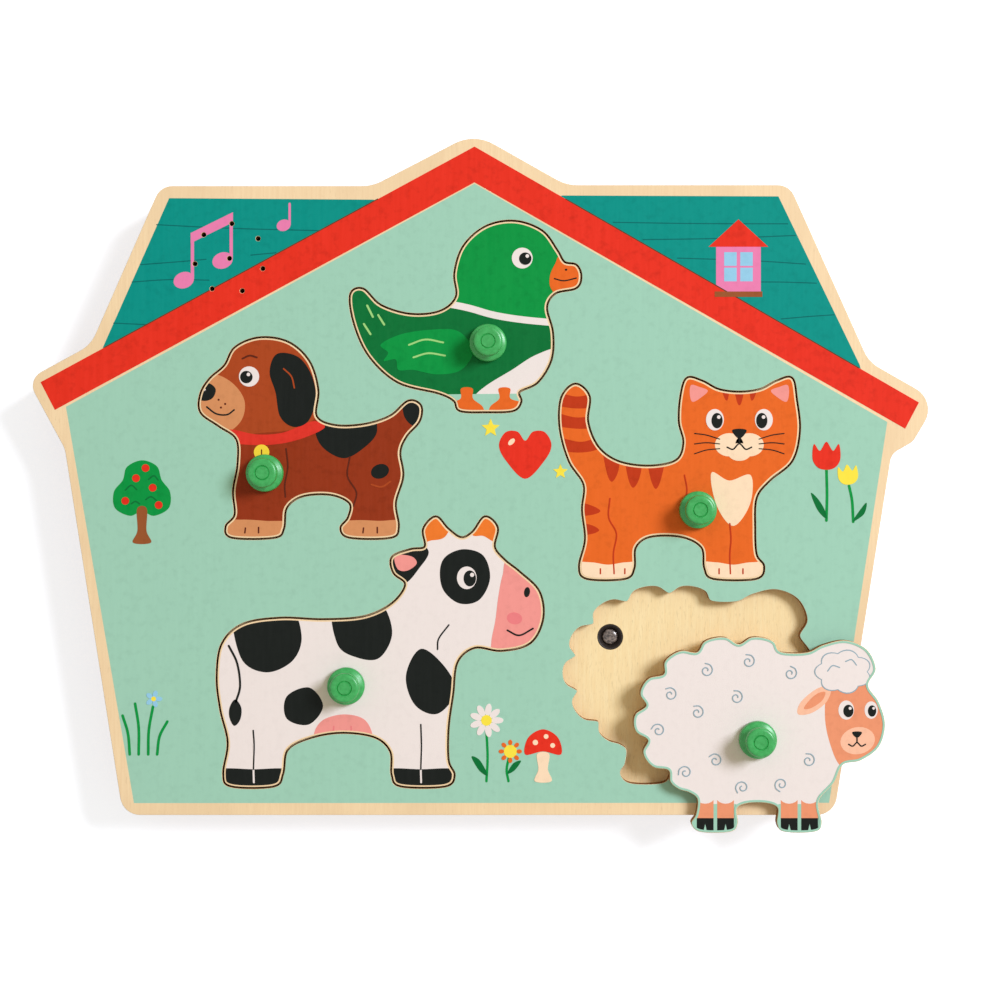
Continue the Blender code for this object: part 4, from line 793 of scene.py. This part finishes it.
# Each piece is lifted by a turned beech knob in glossy green paint, held by a screw from
# below. A shallow ring is turned into its top, and the lathe's marks show under the paint.
KNOB_PROFILE = [
    (6.25, 0.0), (6.25, 1.9), (6.1, 2.35), (5.65, 2.6), (4.9, 2.75), (4.3, 3.15), (4.1, 3.8),
    (4.1, 4.7), (4.3, 5.2), (4.7, 5.55), (4.9, 6.1), (4.9, 8.0), (4.8, 8.5), (4.5, 8.85),
    (4.0, 9.0), (3.3, 9.0), (2.56, 9.0), (2.42, 8.78), (2.3, 8.7), (2.18, 8.78), (2.04, 9.0),
    (1.2, 8.95), (0.0, 8.93),
]
KNOB_SIDES = 72
TURNING_WIDTH = 0.00033


def turned(profile, place, base, sides):
    """A solid of revolution from its (radius, height) profile, bottom first, or a ring."""
    shape = bmesh.new()
    if profile[0] != profile[-1]:
        profile = [(0.0, profile[0][1]), *profile]
    corners = [shape.verts.new((radius, 0, height)) for radius, height in profile]
    edges = [shape.edges.new(pair) for pair in zip(corners, corners[1:])]
    bmesh.ops.spin(
        shape, geom=corners + edges, cent=(0, 0, 0), axis=(0, 0, 1), angle=math.tau,
        steps=sides, use_merge=True,
    )
    bmesh.ops.remove_doubles(shape, verts=shape.verts, dist=WELD)
    bmesh.ops.recalc_face_normals(shape, faces=shape.faces)
    distance = shape.verts.layers.float.new("from_axis")
    for vert in shape.verts:
        vert[distance] = vert.co.xy.length * MM
    bmesh.ops.translate(shape, vec=(*place, base), verts=shape.verts)
    return shape


def softened(piece, angle=50.0):
    """Smooth shading, with the edges sharper than the angle left crisp."""
    piece.data.shade_smooth()
    shape = bmesh.new()
    shape.from_mesh(piece.data)
    for edge in shape.edges:
        edge.smooth = not (edge.is_manifold and edge.calc_face_angle() > math.radians(angle))
    shape.to_mesh(piece.data)
    shape.free()


KNOB_PAINT, tree, skin = plain_finish(
    "green_gloss_paint", 0.34, Coat_Weight=0.15, Coat_Roughness=0.22, Specular_IOR_Level=0.5
)
from_axis = add(tree, "Attribute", {}, attribute_name="from_axis").outputs["Fac"]
ripple = reckon(tree, "SINE", reckon(tree, "MULTIPLY", from_axis, math.tau / TURNING_WIDTH))
coat = blended(tree, clouds(tree, 700.0, 3.0), 0.35, 0.75, paint(58, 172, 88), paint(34, 148, 66))
cover(tree, skin, coat, ripple, 0.1, 0.00003)
for animal in ANIMALS:
    base = levels(f"{animal}_knob")[0]
    shape = turned(KNOB_PROFILE, middle(f"{animal}_knob"), base, KNOB_SIDES)
    knob = placed(f"{animal}_turned_knob", shape, KNOB_PAINT)
    softened(knob)
    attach(knob, animal)
    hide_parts(f"{animal}_knob")

# The face of the board is a sheet of birch plywood, sawn to the outline of a farmhouse. The
# same laser cut leaves a window for each animal and eight sound holes under the gable.
HOUSE = [
    (-2.1, 115.35, 13.7), (-36.2, 97.6, 15.0), (-107.3, 97.6, 6.0), (-130.7, 44.3, 12.0),
    (-152.0, 32.7, 5.2), (-139.4, 9.5, 10.0), (-119.9, -113.35, 6.7), (118.6, -113.35, 6.7),
    (137.8, 7.7, 5.0), (145.1, 11.9, 5.0), (153.2, 25.5, 8.0), (130.3, 38.6, 12.0),
    (103.6, 97.9, 6.0), (28.8, 97.9, 15.0),
]
WINDOW_GAP = 0.6
PRINT_STOP = 0.12
SHEEP_SEAT = (69.5, -71.3)
SOUND_HOLE_RADIUS = 0.8
RING_HOLES, RING_RADIUS, RING_START = 7, 11.7, math.radians(86.0)


def rounded(corners, grow=0.0, steps=8):
    """Straight sides joined by an arc at each corner's (x, y, radius)."""
    points = []
    for i, (x, y, radius) in enumerate(corners):
        here = Vector((x, y))
        back = (Vector(corners[i - 1][:2]) - here).normalized()
        onward = (Vector(corners[(i + 1) % len(corners)][:2]) - here).normalized()
        half = back.angle(onward) / 2
        centre = here + (back + onward).normalized() * radius / math.sin(half)
        first = here + back * radius / math.tan(half) - centre
        last = here + onward * radius / math.tan(half) - centre
        turn = first.angle_signed(last)
        points += [centre + Matrix.Rotation(-turn * k / steps, 2) @ first for k in range(steps + 1)]
    return moved_out(points, grow)


seats = {animal: middle(f"{animal}_knob") for animal in ANIMALS}
seats["sheep"] = Vector(SHEEP_SEAT)
speaker = middle("speaker_magnet")
holes = [speaker] + [
    speaker + RING_RADIUS * Vector((math.cos(angle), math.sin(angle)))
    for angle in (RING_START + math.tau * k / RING_HOLES for k in range(RING_HOLES))
]


def windows(grow):
    """The edges of the five windows, grow millimetres outside the pieces."""
    return [moved(smooth(marks, grow), seats[animal]) for animal, marks in OUTLINES.items()]


def sound_holes(grow=0.0):
    """The edges of the sound holes."""
    return [oval(*hole, SOUND_HOLE_RADIUS + grow, steps=16) for hole in holes]


face_low, face_high = levels("face_panel")
face = sheet(
    [rounded(HOUSE), *windows(WINDOW_GAP), *sound_holes()],
    face_low, face_high - INK_DEPTH, SHEET_RIM,
)
show_saw_cut(face)
face_sheet = placed("house_face", face, BIRCH, SAWN)
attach(face_sheet, "board")
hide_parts("face_panel")

# The house is printed on the face: red barge boards, teal roof planks and a mint wall, all
# short of the sawn edge, with small farmyard pictures between the windows.
ROOF_LEFT, ROOF_RIGHT = [(-147.5, 31.8), (-142.7, 22.5)], [(142.4, 16.2), (147.0, 25.0)]
GABLE_TOP, GABLE_UNDER = (-2.0, 110.8), (-2.0, 98.8)
BARGE_BOARDS = [ROOF_LEFT[0], GABLE_TOP, ROOF_RIGHT[1], ROOF_RIGHT[0], GABLE_UNDER, ROOF_LEFT[1]]
WALL = [(-139.0, 24.0), (-116.2, -108.9), (116.9, -108.8), (136.4, 18.9), GABLE_UNDER]
WALL_DROP = (0, -0.45)
PLANKS_LEFT = [(-104.4, 93.5), (-36.0, 93.0), (-26.0, 90.0), (-128.5, 36.0), (-126.6, 43.5)]
PLANKS_RIGHT = [(27.5, 94.4), (99.9, 94.1), (127.2, 37.5), (129.0, 30.0), (18.0, 92.0)]
PLANK_SEAMS = [
    [(-108.6, 84.6), (-84, 83.4), (-54, 82.6)], [(-114, 71.2), (-101, 72.2), (-92, 73)],
    [(-77, 74.4), (-68.6, 75.2)], [(-116.8, 65.4), (-104, 66.2), (-91, 66)],
    [(-123, 51.6), (-110, 51)], [(44.5, 85.4), (72, 85), (103, 84.9)],
    [(54.5, 79.6), (80, 80), (105.6, 81)], [(66, 73.4), (90, 72.6), (109, 71.4)],
    [(80.6, 65.2), (98, 65.4), (112.6, 65)], [(100.8, 53), (110, 53.8), (118.6, 54.4)],
]
EDGE_LINE, BARE_EDGE = 0.35, 0.6


def at(place, *lines):
    """Closed lines drawn about a picture's own zero, brought to its place on the house."""
    return [moved(line, place) for line in lines]


def star(x, y, reach, inner=0.45, points=5):
    """A closed star with its first point upwards."""
    return [
        Vector((x, y)) + reach * (inner if k % 2 else 1.0)
        * Vector((math.sin(math.pi * k / points), math.cos(math.pi * k / points)))
        for k in range(2 * points)
    ]


def petals(x, y, reach, long, wide, count):
    """Ovals set round a flower's middle."""
    return [
        oval(x + reach * math.cos(angle), y + reach * math.sin(angle), long, wide,
             math.degrees(angle), 16)
        for angle in (math.tau * k / count for k in range(count))
    ]


ROOF_RED = ink("roof_red_ink", paint(228, 48, 30), 0.08)
TEAL = ink("teal_ink", paint(0, 144, 134), 0.05)
DEEP_TEAL = ink("deep_teal_ink", paint(0, 104, 100), 0.05)
OLIVE = ink("olive_line_ink", paint(84, 62, 38), 0.05)
CANDY = ink("candy_pink_ink", paint(234, 128, 178), 0.03)
SKY = ink("sky_blue_ink", paint(150, 204, 234), 0.03)
LEMON = ink("lemon_ink", paint(250, 228, 72), 0.03)
BARK = ink("bark_ink", paint(150, 84, 44), 0.06)
NOTES, DORMER, HEART, TREE = (-93.0, 66.0), (86.5, 62.0), (15.0, 8.0), (-113.5, -13.0)
TULIPS, DAISIES, TOADSTOOL, TUFT = (116.0, -6.0), (2.0, -92.0), (21.0, -92.0), (-113.0, -84.0)
HEART_SHAPE = [(0, -8.6), (-6.4, -2.6), (-8.8, 2.6), (-6.6, 7), (-2.6, 7.2), (0, 4.2),
               (2.6, 7.2), (6.6, 7), (8.8, 2.6), (6.4, -2.6)]
TULIP_SHAPE = [(-4.2, 6.4), (-4.6, 1.2), (-2.2, -1.8), (2.2, -1.8), (4.6, 1.2), (4.2, 6.4),
               (2.2, 4.2), (0, 7.2), (-2.2, 4.2)]
house_print = printed("house_picture", [
    (MINT, [moved(WALL, WALL_DROP)]),
    (TEAL, [PLANKS_LEFT, PLANKS_RIGHT]),
    (DEEP_TEAL, strokes(0.36, *PLANK_SEAMS)),
    (CANDY, [
        *at(NOTES, oval(-6.5, 0, 3.5, 2.7, 20), oval(6.5, 6.6, 3.5, 2.7, 20),
            oval(27, 18.4, 2.4, 1.9, 20)),
        *at(DORMER, block(-7.5, 0, 7.5, 16)),
    ]),
    (CANDY, at(
        NOTES, *strokes(1.1, [(-3.6, 0.6), (-3.6, 14)], [(9.4, 7.2), (9.4, 20.6)]),
        stroke([(29, 18.8), (29, 25.6)], 0.8),
    )),
    (CANDY, at(NOTES, [(-4.2, 12.4), (10, 19.4), (10, 22.8), (-4.2, 15.8)])),
    (SKY, at(DORMER, *(block(x, y, x + 4.2, y + 4.6) for x in (-4.8, 0.6) for y in (3.6, 8.8)))),
    (ROOF_RED, [
        BARGE_BOARDS, *at(DORMER, [(-10, 15.2), (10, 15.2), (0, 24.4)]),
        *at(HEART, smooth(HEART_SHAPE)),
    ]),
    (OLIVE, strokes(
        EDGE_LINE, [(-126, 43.5), (-64, 77.2), (-34.5, 93.2)],
        [(28.6, 93.2), (78, 64.8), (126.8, 36.6)],
    )),
    (LEAF, [
        *at(TREE, smooth([(-4, 0), (-9, 2.6), (-9.4, 8), (-6.4, 12), (-5, 16.4), (0, 18.6),
                          (5, 16.6), (6.6, 12), (9.4, 8), (9, 2.6), (4, 0), (0, 1.6)])),
        *at(TULIPS, *strokes(0.9, [(0, -8.6), (0.2, 0), (0, 9)], [(9, -9), (8.6, -2), (7.6, 3)])),
        *at(DAISIES, *strokes(0.8, [(0, -10), (0.4, -2), (0, 7)],
                              [(7.4, -10), (6.8, -6), (7.8, -1)])),
        *at(TUFT, *strokes(
            0.9, [(-4.6, -9), (-5.2, -2), (-7, 4)], [(-1.6, -9), (-1.6, 0), (-2.8, 8)],
            [(1.6, -9), (1.8, -1), (3.2, 7)], [(4.6, -9), (5.4, -3), (8, 2)],
        )),
    ]),
    (FOREST, [
        *at(TULIPS, smooth([(0, -8), (-3, -5), (-5.2, 0.6), (-2.8, -1.4), (-0.6, -5)]),
            smooth([(8.8, -9), (10.6, -6), (13.4, -2.6), (12.6, -6.4)])),
        *at(DAISIES, smooth([(0.4, -8), (-2.4, -6.4), (-5, -1.8), (-2.2, -3)]),
            smooth([(7, -7.4), (9.4, -6.4), (11.6, -3.2), (9, -4)])),
        *at(TREE, *strokes(
            0.5, [(-5.6, 8.6), (-3.6, 10.2), (-1.8, 8.8)], [(2.2, 12.2), (4, 13.4), (5.4, 12)],
            [(1.2, 5.4), (3, 6.4), (4.8, 5.2)], [(-3.6, 4), (-2.2, 4.8), (-0.8, 4)],
        )),
    ]),
    (BARK, [
        *at(TREE, smooth([(-1.6, 2.4), (-1.5, -5), (-3, -9), (3, -9), (1.5, -5), (1.6, 2.4)])),
        *at(DORMER, block(-8, -1.6, 8, 0.2)),
    ]),
    (ROOF_RED, [
        *at(TREE, *(oval(x, y, 1.3) for x, y in
                    ((-5.6, 5), (-2, 12.6), (3.6, 9.4), (5.6, 3.6), (1.2, 16)))),
        *at(TULIPS, smooth(moved(TULIP_SHAPE, (0, 10.6)))),
        *at(TOADSTOOL, smooth([(-6, -1), (-5, 4.6), (0, 7.4), (5, 4.6), (6, -1), (0, 0)])),
    ]),
    (LEMON, [
        *at(HEART, star(-11.6, 8.4, 3.2), star(11.8, -6.2, 2.6)),
        *at(TULIPS, smooth(moved(TULIP_SHAPE, (7.4, 5), 0.72, 6))),
        *at(DAISIES, oval(8, 0, 2.2)),
    ]),
    (CREAM, [
        *at(TOADSTOOL, oval(-2.6, 3, 0.9), oval(1, 5, 0.8), oval(3.2, 2, 0.8),
            smooth([(-2, -0.8), (-1.6, -6), (-2.8, -10), (2.8, -10), (1.6, -6), (2, -0.8)])),
        *at(HEART, oval(-4.6, 3.8, 1.4, 0.8, 45)),
    ]),
    (WHITE, at(DAISIES, *petals(0, 10.4, 3.6, 2.1, 1.1, 9))),
    (SKY, at(TUFT, *petals(3.4, 9.6, 1.7, 1.2, 0.8, 5))),
    (ORANGE, at(DAISIES, *petals(8, 0, 3.0, 0.9, 0.7, 8))),
    (LEMON, [*at(DAISIES, oval(0, 10.4, 1.8)), *at(TUFT, oval(3.4, 9.6, 0.8))]),
], [
    rounded(HOUSE, -BARE_EDGE), *windows(WINDOW_GAP + PRINT_STOP), *sound_holes(PRINT_STOP),
], face_high - INK_DEPTH)
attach(house_print, "board")

# Under the face lies the recess floor, plain birch plywood that shows in the sheep's empty
# window, with a hole for each light sensor. It is glued to the face and to the core.
SLEEVE_HOLE, FLOOR_RIM = 4.35, 0.1
SMALL_SIDES = 40
PLY_PALE, PLY_DARK = paint(222, 184, 132), paint(120, 78, 42)


def plywood(name, pale, dark, ply=1.0):
    """Birch on the broad sides of a sheet and its glued plies on the upright ones."""
    finish, tree, skin = plain_finish(name, 0.6, Specular_IOR_Level=0.25)
    fibre = grain(tree, 90.0, 1500.0)
    fleck = grain(tree, 420.0, 3200.0)
    tone = blended(tree, fibre, 0.32, 0.7, pale, dark)
    flecked = blended(tree, fleck, 0.55, 0.78, tone, shaded(dark, 0.8))
    facing = add(tree, "NewGeometry", {}).outputs["Normal"]
    flat = reckon(tree, "ABSOLUTE", add(tree, "SeparateXYZ", {0: facing}).outputs["Z"])
    edge = plies(tree, PLY_PALE, PLY_DARK, ply)
    both = blended(tree, flat, 0.45, 0.55, edge, flecked)
    cover(tree, skin, both, fibre, 0.2, 0.0001)
    return finish


FLOOR_BIRCH = plywood("recess_birch", paint(253, 230, 181), paint(248, 220, 166))
sensors = [middle(f"light_sensor_{animal}") for animal in ANIMALS]
floor = placed("recess_floor_sawn", sheet([
    rounded(HOUSE), *(oval(*sensor, SLEEVE_HOLE, steps=SMALL_SIDES) for sensor in sensors),
    *sound_holes(),
], *levels("recess_floor"), FLOOR_RIM), FLOOR_BIRCH)
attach(floor, "board")
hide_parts("recess_floor")

# A light sensor sits in a black sleeve in each recess, flush with its floor: a clear resin
# window over a grey-brown cell. When a piece covers it, the board makes the animal's sound.
SLEEVE_PROFILE = [
    (2.75, 0.0), (4.3, 0.0), (4.3, 6.8), (4.1, 7.0), (3.9, 6.95), (3.6, 6.5), (2.95, 5.4),
    (2.75, 5.0), (2.75, 0.0),
]
LENS_PROFILE = [(2.55, 0.0), (2.55, 1.7), (2.35, 1.95), (1.6, 2.12), (0.8, 2.18), (0.0, 2.2)]


def moulded(name, colour, roughness=0.5, spark=3800.0):
    """Moulded plastic with the fine spark-eroded skin of its mould."""
    finish, tree, skin = plain_finish(name, roughness)
    pits = clouds(tree, spark, 3.0)
    tone = blended(tree, clouds(tree, 260.0), 0.3, 0.8, colour, shaded(colour, 0.82))
    cover(tree, skin, tone, pits, 0.3, 0.00005)
    return finish


SLEEVE_BLACK = moulded("sleeve_black", paint(34, 25, 20), 0.55)
SENSOR_WINDOW, tree, skin = plain_finish("sensor_window", 0.25, Coat_Weight=0.5)
cover(tree, skin, blended(
    tree, clouds(tree, 1500.0, 4.0), 0.4, 0.62, paint(52, 42, 38), paint(136, 120, 110)
))
for animal in ANIMALS:
    for node, profile, finish, slot in (
        (f"sensor_sleeve_{animal}", SLEEVE_PROFILE, SLEEVE_BLACK, "black_plastic"),
        (f"light_sensor_{animal}", LENS_PROFILE, SENSOR_WINDOW, "sensor_lens"),
    ):
        shape = turned(profile, middle(node), levels(node)[0], SMALL_SIDES)
        part = placed(f"{node}_turned", shape, finish)
        softened(part)
        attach(part, "board")
        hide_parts(node)

# The core board gives the house its depth. It and the back panel are plywood too, sawn with
# the face. Only their edges show, and the back panel from behind.
def wear(finish, *nodes):
    """Gives CAD parts that stay as they are their finish."""
    for node in nodes:
        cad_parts[node].material_slots[0].material = finish


wear(plywood("core_plies", paint(226, 188, 136), paint(206, 162, 108), 1.5), "core_board")
wear(plywood("back_birch", paint(244, 216, 170), paint(228, 194, 144)), "back_panel")

# Zinc-plated countersunk screws with a cross slot hold the back panel, the battery door and,
# from below, each knob.
HEAD_HEIGHT, SHANK_SHARE = 1.9, 0.5
HEAD_EDGE, HEAD_FLANK = 0.12, (0.05, 0.3)
CROSS, SLOT_DEPTH = (3.0, 0.72), 1.1
THREAD_PITCH, THREAD_SHARE = 1.0, 0.16
TIP_HEIGHT = 1.6


def screw_shape(head, length):
    """A screw that points upwards from its flat head: cone, threaded shank and tip."""
    shank = head * SHANK_SHARE
    root = shank * (1 - THREAD_SHARE)
    flank = (head - HEAD_FLANK[0], HEAD_FLANK[1])
    profile = [(head - HEAD_EDGE, 0.0), (head, HEAD_EDGE), flank, (shank, HEAD_HEIGHT)]
    height = HEAD_HEIGHT + THREAD_PITCH / 2
    while height < length - TIP_HEIGHT - THREAD_PITCH / 2:
        profile += [
            (root, height), (shank, height + THREAD_PITCH / 3), (shank, height + THREAD_PITCH / 2),
        ]
        height += THREAD_PITCH
    profile += [(root, length - TIP_HEIGHT), (0.0, length)]
    return turned(profile, (0, 0), 0.0, SMALL_SIDES)


def bar(*size):
    """A block about zero, for a screw's cross slot."""
    shape = bmesh.new()
    bmesh.ops.create_cube(shape, size=1.0)
    bmesh.ops.scale(shape, vec=size, verts=shape.verts)
    return shape


ZINC, tree, skin = plain_finish("zinc_plate", 0.32, 1.0)
plate = blended(
    tree, clouds(tree, 900.0, 3.0), 0.3, 0.7, paint(206, 206, 200), paint(166, 166, 160)
)
cover(tree, skin, plate, clouds(tree, 5200.0, 2.0), 0.12, 0.00004)
screws = {f"back_screw_{number}": "board" for number in range(1, 7)}
screws |= {f"{animal}_knob_screw": animal for animal in ANIMALS}
screws["battery_door_screw"] = "door"
for node, body in screws.items():
    low, high = (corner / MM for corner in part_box(node))
    slots = [bar(*size, 2 * SLOT_DEPTH) for size in (CROSS, CROSS[::-1])]
    shape = combined(screw_shape((high.x - low.x) / 2, high.z - low.z), slots, "DIFFERENCE")
    bmesh.ops.translate(shape, vec=(*middle(node), low.z), verts=shape.verts)
    screw = placed(f"{node}_threaded", shape, ZINC)
    softened(screw, 35.0)
    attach(screw, body)
    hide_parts(node)

# The battery box is moulded in dark plastic, open at the back. Its door's round nose turns
# behind a lip, and a screw holds the other end. Grip grooves help a thumb to lift it.
EASED_EDGE = 0.18
FLAT_ANGLE, SHARP_ANGLE = math.radians(2.0), math.radians(30.0)


def eased(node, name, finish, body, edge=EASED_EDGE):
    """A CAD part with its sharp edges slightly rounded, as moulding or pressing leaves them."""
    shape = bmesh.new()
    shape.from_mesh(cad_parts[node].data)
    bmesh.ops.scale(shape, vec=(1 / MM,) * 3, verts=shape.verts)
    bmesh.ops.remove_doubles(shape, verts=shape.verts, dist=WELD)
    bmesh.ops.dissolve_limit(
        shape, angle_limit=FLAT_ANGLE, verts=shape.verts, edges=shape.edges
    )
    sharp = [
        side for side in shape.edges if side.is_manifold and side.calc_face_angle() > SHARP_ANGLE
    ]
    bmesh.ops.bevel(
        shape, geom=sharp, offset=edge, affect="EDGES", segments=2, profile=0.5, material=-1,
        clamp_overlap=True,
    )
    piece = placed(name, shape, finish)
    softened(piece, 20.0)
    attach(piece, body)
    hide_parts(node)


BOX_PLASTIC = moulded("battery_box_plastic", paint(48, 50, 52), 0.48, 2600.0)
SWITCH_BLACK = moulded("switch_black", paint(30, 30, 32), 0.42)
eased("battery_box", "battery_box_moulded", BOX_PLASTIC, "board")
eased("battery_door", "battery_door_moulded", BOX_PLASTIC, "door", 0.12)

# Two small cells lie head to tail in the box, between nickel contacts. A coiled spring
# presses on each one's flat end. Their jackets are plain, with a copper band at the head.
CELL_RADIUS, CELL_EDGE = 5.2, 0.4
NIPPLE_RADIUS, NIPPLE_LENGTH, NIPPLE_EDGE = 1.9, 1.0, 0.2
BAND_LENGTH = 12.0
COIL_TURNS, COIL_WIRE, COIL_TAPER, COIL_STEPS = 4.5, 0.22, 0.45, 20


def cell_jacket(name, band_low, band_high):
    """A printed plastic jacket: dark, with a copper band between two places along X."""
    finish, tree, skin = plain_finish(name, 0.3, Coat_Weight=0.4)
    along = add(tree, "SeparateXYZ", {0: spot(tree)}).outputs["X"]
    past = reckon(tree, "GREATER_THAN", along, band_low * MM)
    short = reckon(tree, "LESS_THAN", along, band_high * MM)
    band = reckon(tree, "MULTIPLY", past, short)
    dark = blended(tree, clouds(tree, 500.0), 0.3, 0.8, paint(36, 38, 42), paint(24, 25, 28))
    copper = blended(tree, clouds(tree, 500.0), 0.3, 0.8, paint(196, 128, 74), paint(178, 110, 60))
    cover(tree, skin, blended(tree, band, 0.0, 1.0, dark, copper))
    return finish


def cell_shape(length):
    """A cell that stands on its flat end, with its jacket and its bare ends told apart."""
    body = length - NIPPLE_LENGTH
    shape = turned([
        (CELL_RADIUS - CELL_EDGE, 0.0), (CELL_RADIUS, CELL_EDGE),
        (CELL_RADIUS, body - CELL_EDGE), (CELL_RADIUS - CELL_EDGE, body),
        (CELL_RADIUS - 2 * CELL_EDGE, body - CELL_EDGE / 2),
        (NIPPLE_RADIUS, body - CELL_EDGE / 2), (NIPPLE_RADIUS, length - NIPPLE_EDGE),
        (NIPPLE_RADIUS - NIPPLE_EDGE, length), (0.0, length),
    ], (0, 0), 0.0, SMALL_SIDES)
    for face in shape.faces:
        height = face.calc_center_median().z
        face.material_index = int(height > body - CELL_EDGE or height < CELL_EDGE / 2)
    return shape


def coil_shape(low, high, way):
    """A wire wound into a cone along X inside a box, its wide end first."""
    wide, start = (high.z - low.z) / 2 - COIL_WIRE, low.x if way > 0 else high.x
    span = high.x - low.x - 2 * COIL_WIRE
    path = bpy.data.curves.new("coil", "CURVE")
    path.dimensions, path.bevel_depth, path.bevel_resolution = "3D", COIL_WIRE, 2
    path.use_fill_caps = True
    wire = path.splines.new("POLY")
    steps = int(COIL_TURNS * COIL_STEPS)
    wire.points.add(steps)
    for k, point in enumerate(wire.points):
        share = k / steps
        angle = math.tau * COIL_TURNS * share
        reach = wide * (1 - COIL_TAPER * share)
        point.co = (
            start + way * (COIL_WIRE + span * share),
            (low.y + high.y) / 2 + reach * math.cos(angle),
            (low.z + high.z) / 2 + reach * math.sin(angle), 1.0,
        )
    holder = bpy.data.objects.new("coil", path)
    shape = bmesh.new()
    shape.from_mesh(bpy.data.meshes.new_from_object(holder))
    bpy.data.objects.remove(holder)
    bmesh.ops.remove_doubles(shape, verts=shape.verts, dist=WELD)
    return shape


for number, way in ((1, 1), (2, -1)):
    low, high = (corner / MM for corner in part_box(f"battery_{number}"))
    shape = cell_shape(high.x - low.x)
    bmesh.ops.rotate(
        shape, cent=(0, 0, 0), matrix=Matrix.Rotation(way * math.pi / 2, 3, "Y"), verts=shape.verts
    )
    flat_end, head = (low.x, high.x) if way > 0 else (high.x, low.x)
    centre = (low + high) / 2
    bmesh.ops.translate(shape, vec=(flat_end, centre.y, centre.z), verts=shape.verts)
    band = sorted((head - way * NIPPLE_LENGTH, head - way * BAND_LENGTH))
    cell = placed(f"battery_{number}_jacketed", shape, cell_jacket(f"jacket_{number}", *band), ZINC)
    softened(cell)
    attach(cell, "board")
    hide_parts(f"battery_{number}")

    low, high = (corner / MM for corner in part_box(f"battery_spring_{number}"))
    coil = placed(f"battery_spring_{number}_coil", coil_shape(low, high, way), ZINC)
    coil.data.shade_smooth()
    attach(coil, "board")
    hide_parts(f"battery_spring_{number}")
wear(ZINC, "contact_plate_left", "contact_plate_right")

# A slide switch stands beside the box. Its ribbed slider reaches into a slot of the back
# panel, a little below its face, so that it isn't moved by chance.
eased("switch_body", "switch_body_pressed", ZINC, "board")
eased("switch_slider", "switch_slider_moulded", SWITCH_BLACK, "slider", 0.1)

# Inside, a circuit board with a blob of black resin over its chip is taped under the floor,
# and a loudspeaker behind the sound holes. Thin leads lie in channels of the core.
def lead(name, colour):
    """Soft vinyl insulation with a slight gloss."""
    finish, tree, skin = plain_finish(name, 0.38)
    cover(tree, skin, blended(tree, clouds(tree, 800.0), 0.3, 0.8, colour, shaded(colour, 0.8)))
    return finish


SOLDER_MASK, tree, skin = plain_finish("solder_mask", 0.3, Coat_Weight=0.3)
tracks = add(
    tree, "TexBrick",
    {"Vector": spot(tree), "Scale": 380.0, "Mortar Size": 0.06, "Mortar Smooth": 0.2,
     "Color1": paint(18, 96, 58), "Color2": paint(14, 84, 50), "Mortar": paint(46, 138, 84)},
    offset=0.37, squash=1.6,
)
cover(tree, skin, tracks.outputs["Color"])
CONE_PAPER, tree, skin = plain_finish("cone_paper", 0.85, Specular_IOR_Level=0.2)
pulp = clouds(tree, 2400.0, 4.0)
cone_tone = blended(tree, pulp, 0.35, 0.7, paint(46, 44, 42), paint(30, 29, 28))
cover(tree, skin, cone_tone, pulp, 0.5, 0.0001)
FERRITE = moulded("ferrite", paint(62, 60, 60), 0.7, 1800.0)
eased("circuit_board", "circuit_board_cut", SOLDER_MASK, "board", 0.1)
wear(moulded("chip_resin", paint(20, 20, 22), 0.2, 700.0), "sound_chip")
wear(ZINC, "speaker_frame")
wear(CONE_PAPER, "speaker_cone")
wear(FERRITE, "speaker_magnet")
wear(lead("black_lead", paint(34, 34, 36)), "speaker_lead",
     *(f"sensor_lead_{animal}" for animal in ANIMALS))
wear(lead("red_lead", paint(176, 34, 30)), "battery_lead", "switch_lead")

# The table is plain white paper that runs out of sight and keeps the board's soft shadow.
# It is open under the board, a hair inside its outline, so that the back can be seen.
TABLE_HALF_WIDTH = 3.0
TABLE_GLOW = 0.6
TABLE_TINT = (0.83, 0.9, 1.045, 1.0)
PAPER_WHITE = (0.9, 0.9, 0.9, 1.0)
paper, tree, skin = plain_finish(
    "white_paper", 1.0, Base_Color=PAPER_WHITE, Specular_IOR_Level=0.0, Emission_Color=TABLE_TINT
)
glow = reckon(tree, "MULTIPLY", seen_directly(tree), TABLE_GLOW)
tree.links.new(glow, skin.inputs["Emission Strength"])
BOARD_HOLD = 0.3
reach = TABLE_HALF_WIDTH / MM
top = sheet([block(-reach, -reach, reach, reach), rounded(HOUSE, -BOARD_HOLD)], 0.0, 0.0)
placed("table", top, paper)

# A second softbox under the table lights the board's back through the opening, with the
# first one's colour, and nothing else.
lamp = bpy.data.objects.new("lower_softbox", softbox.data.copy())
lamp.data.energy *= SOFTBOX_WAY.z
lamp.location = Vector((0, 0, -SOFTBOX_DISTANCE))
lamp.rotation_euler = Vector((0, 0, -1)).to_track_quat("Z", "Y").to_euler()
bpy.context.scene.collection.objects.link(lamp)
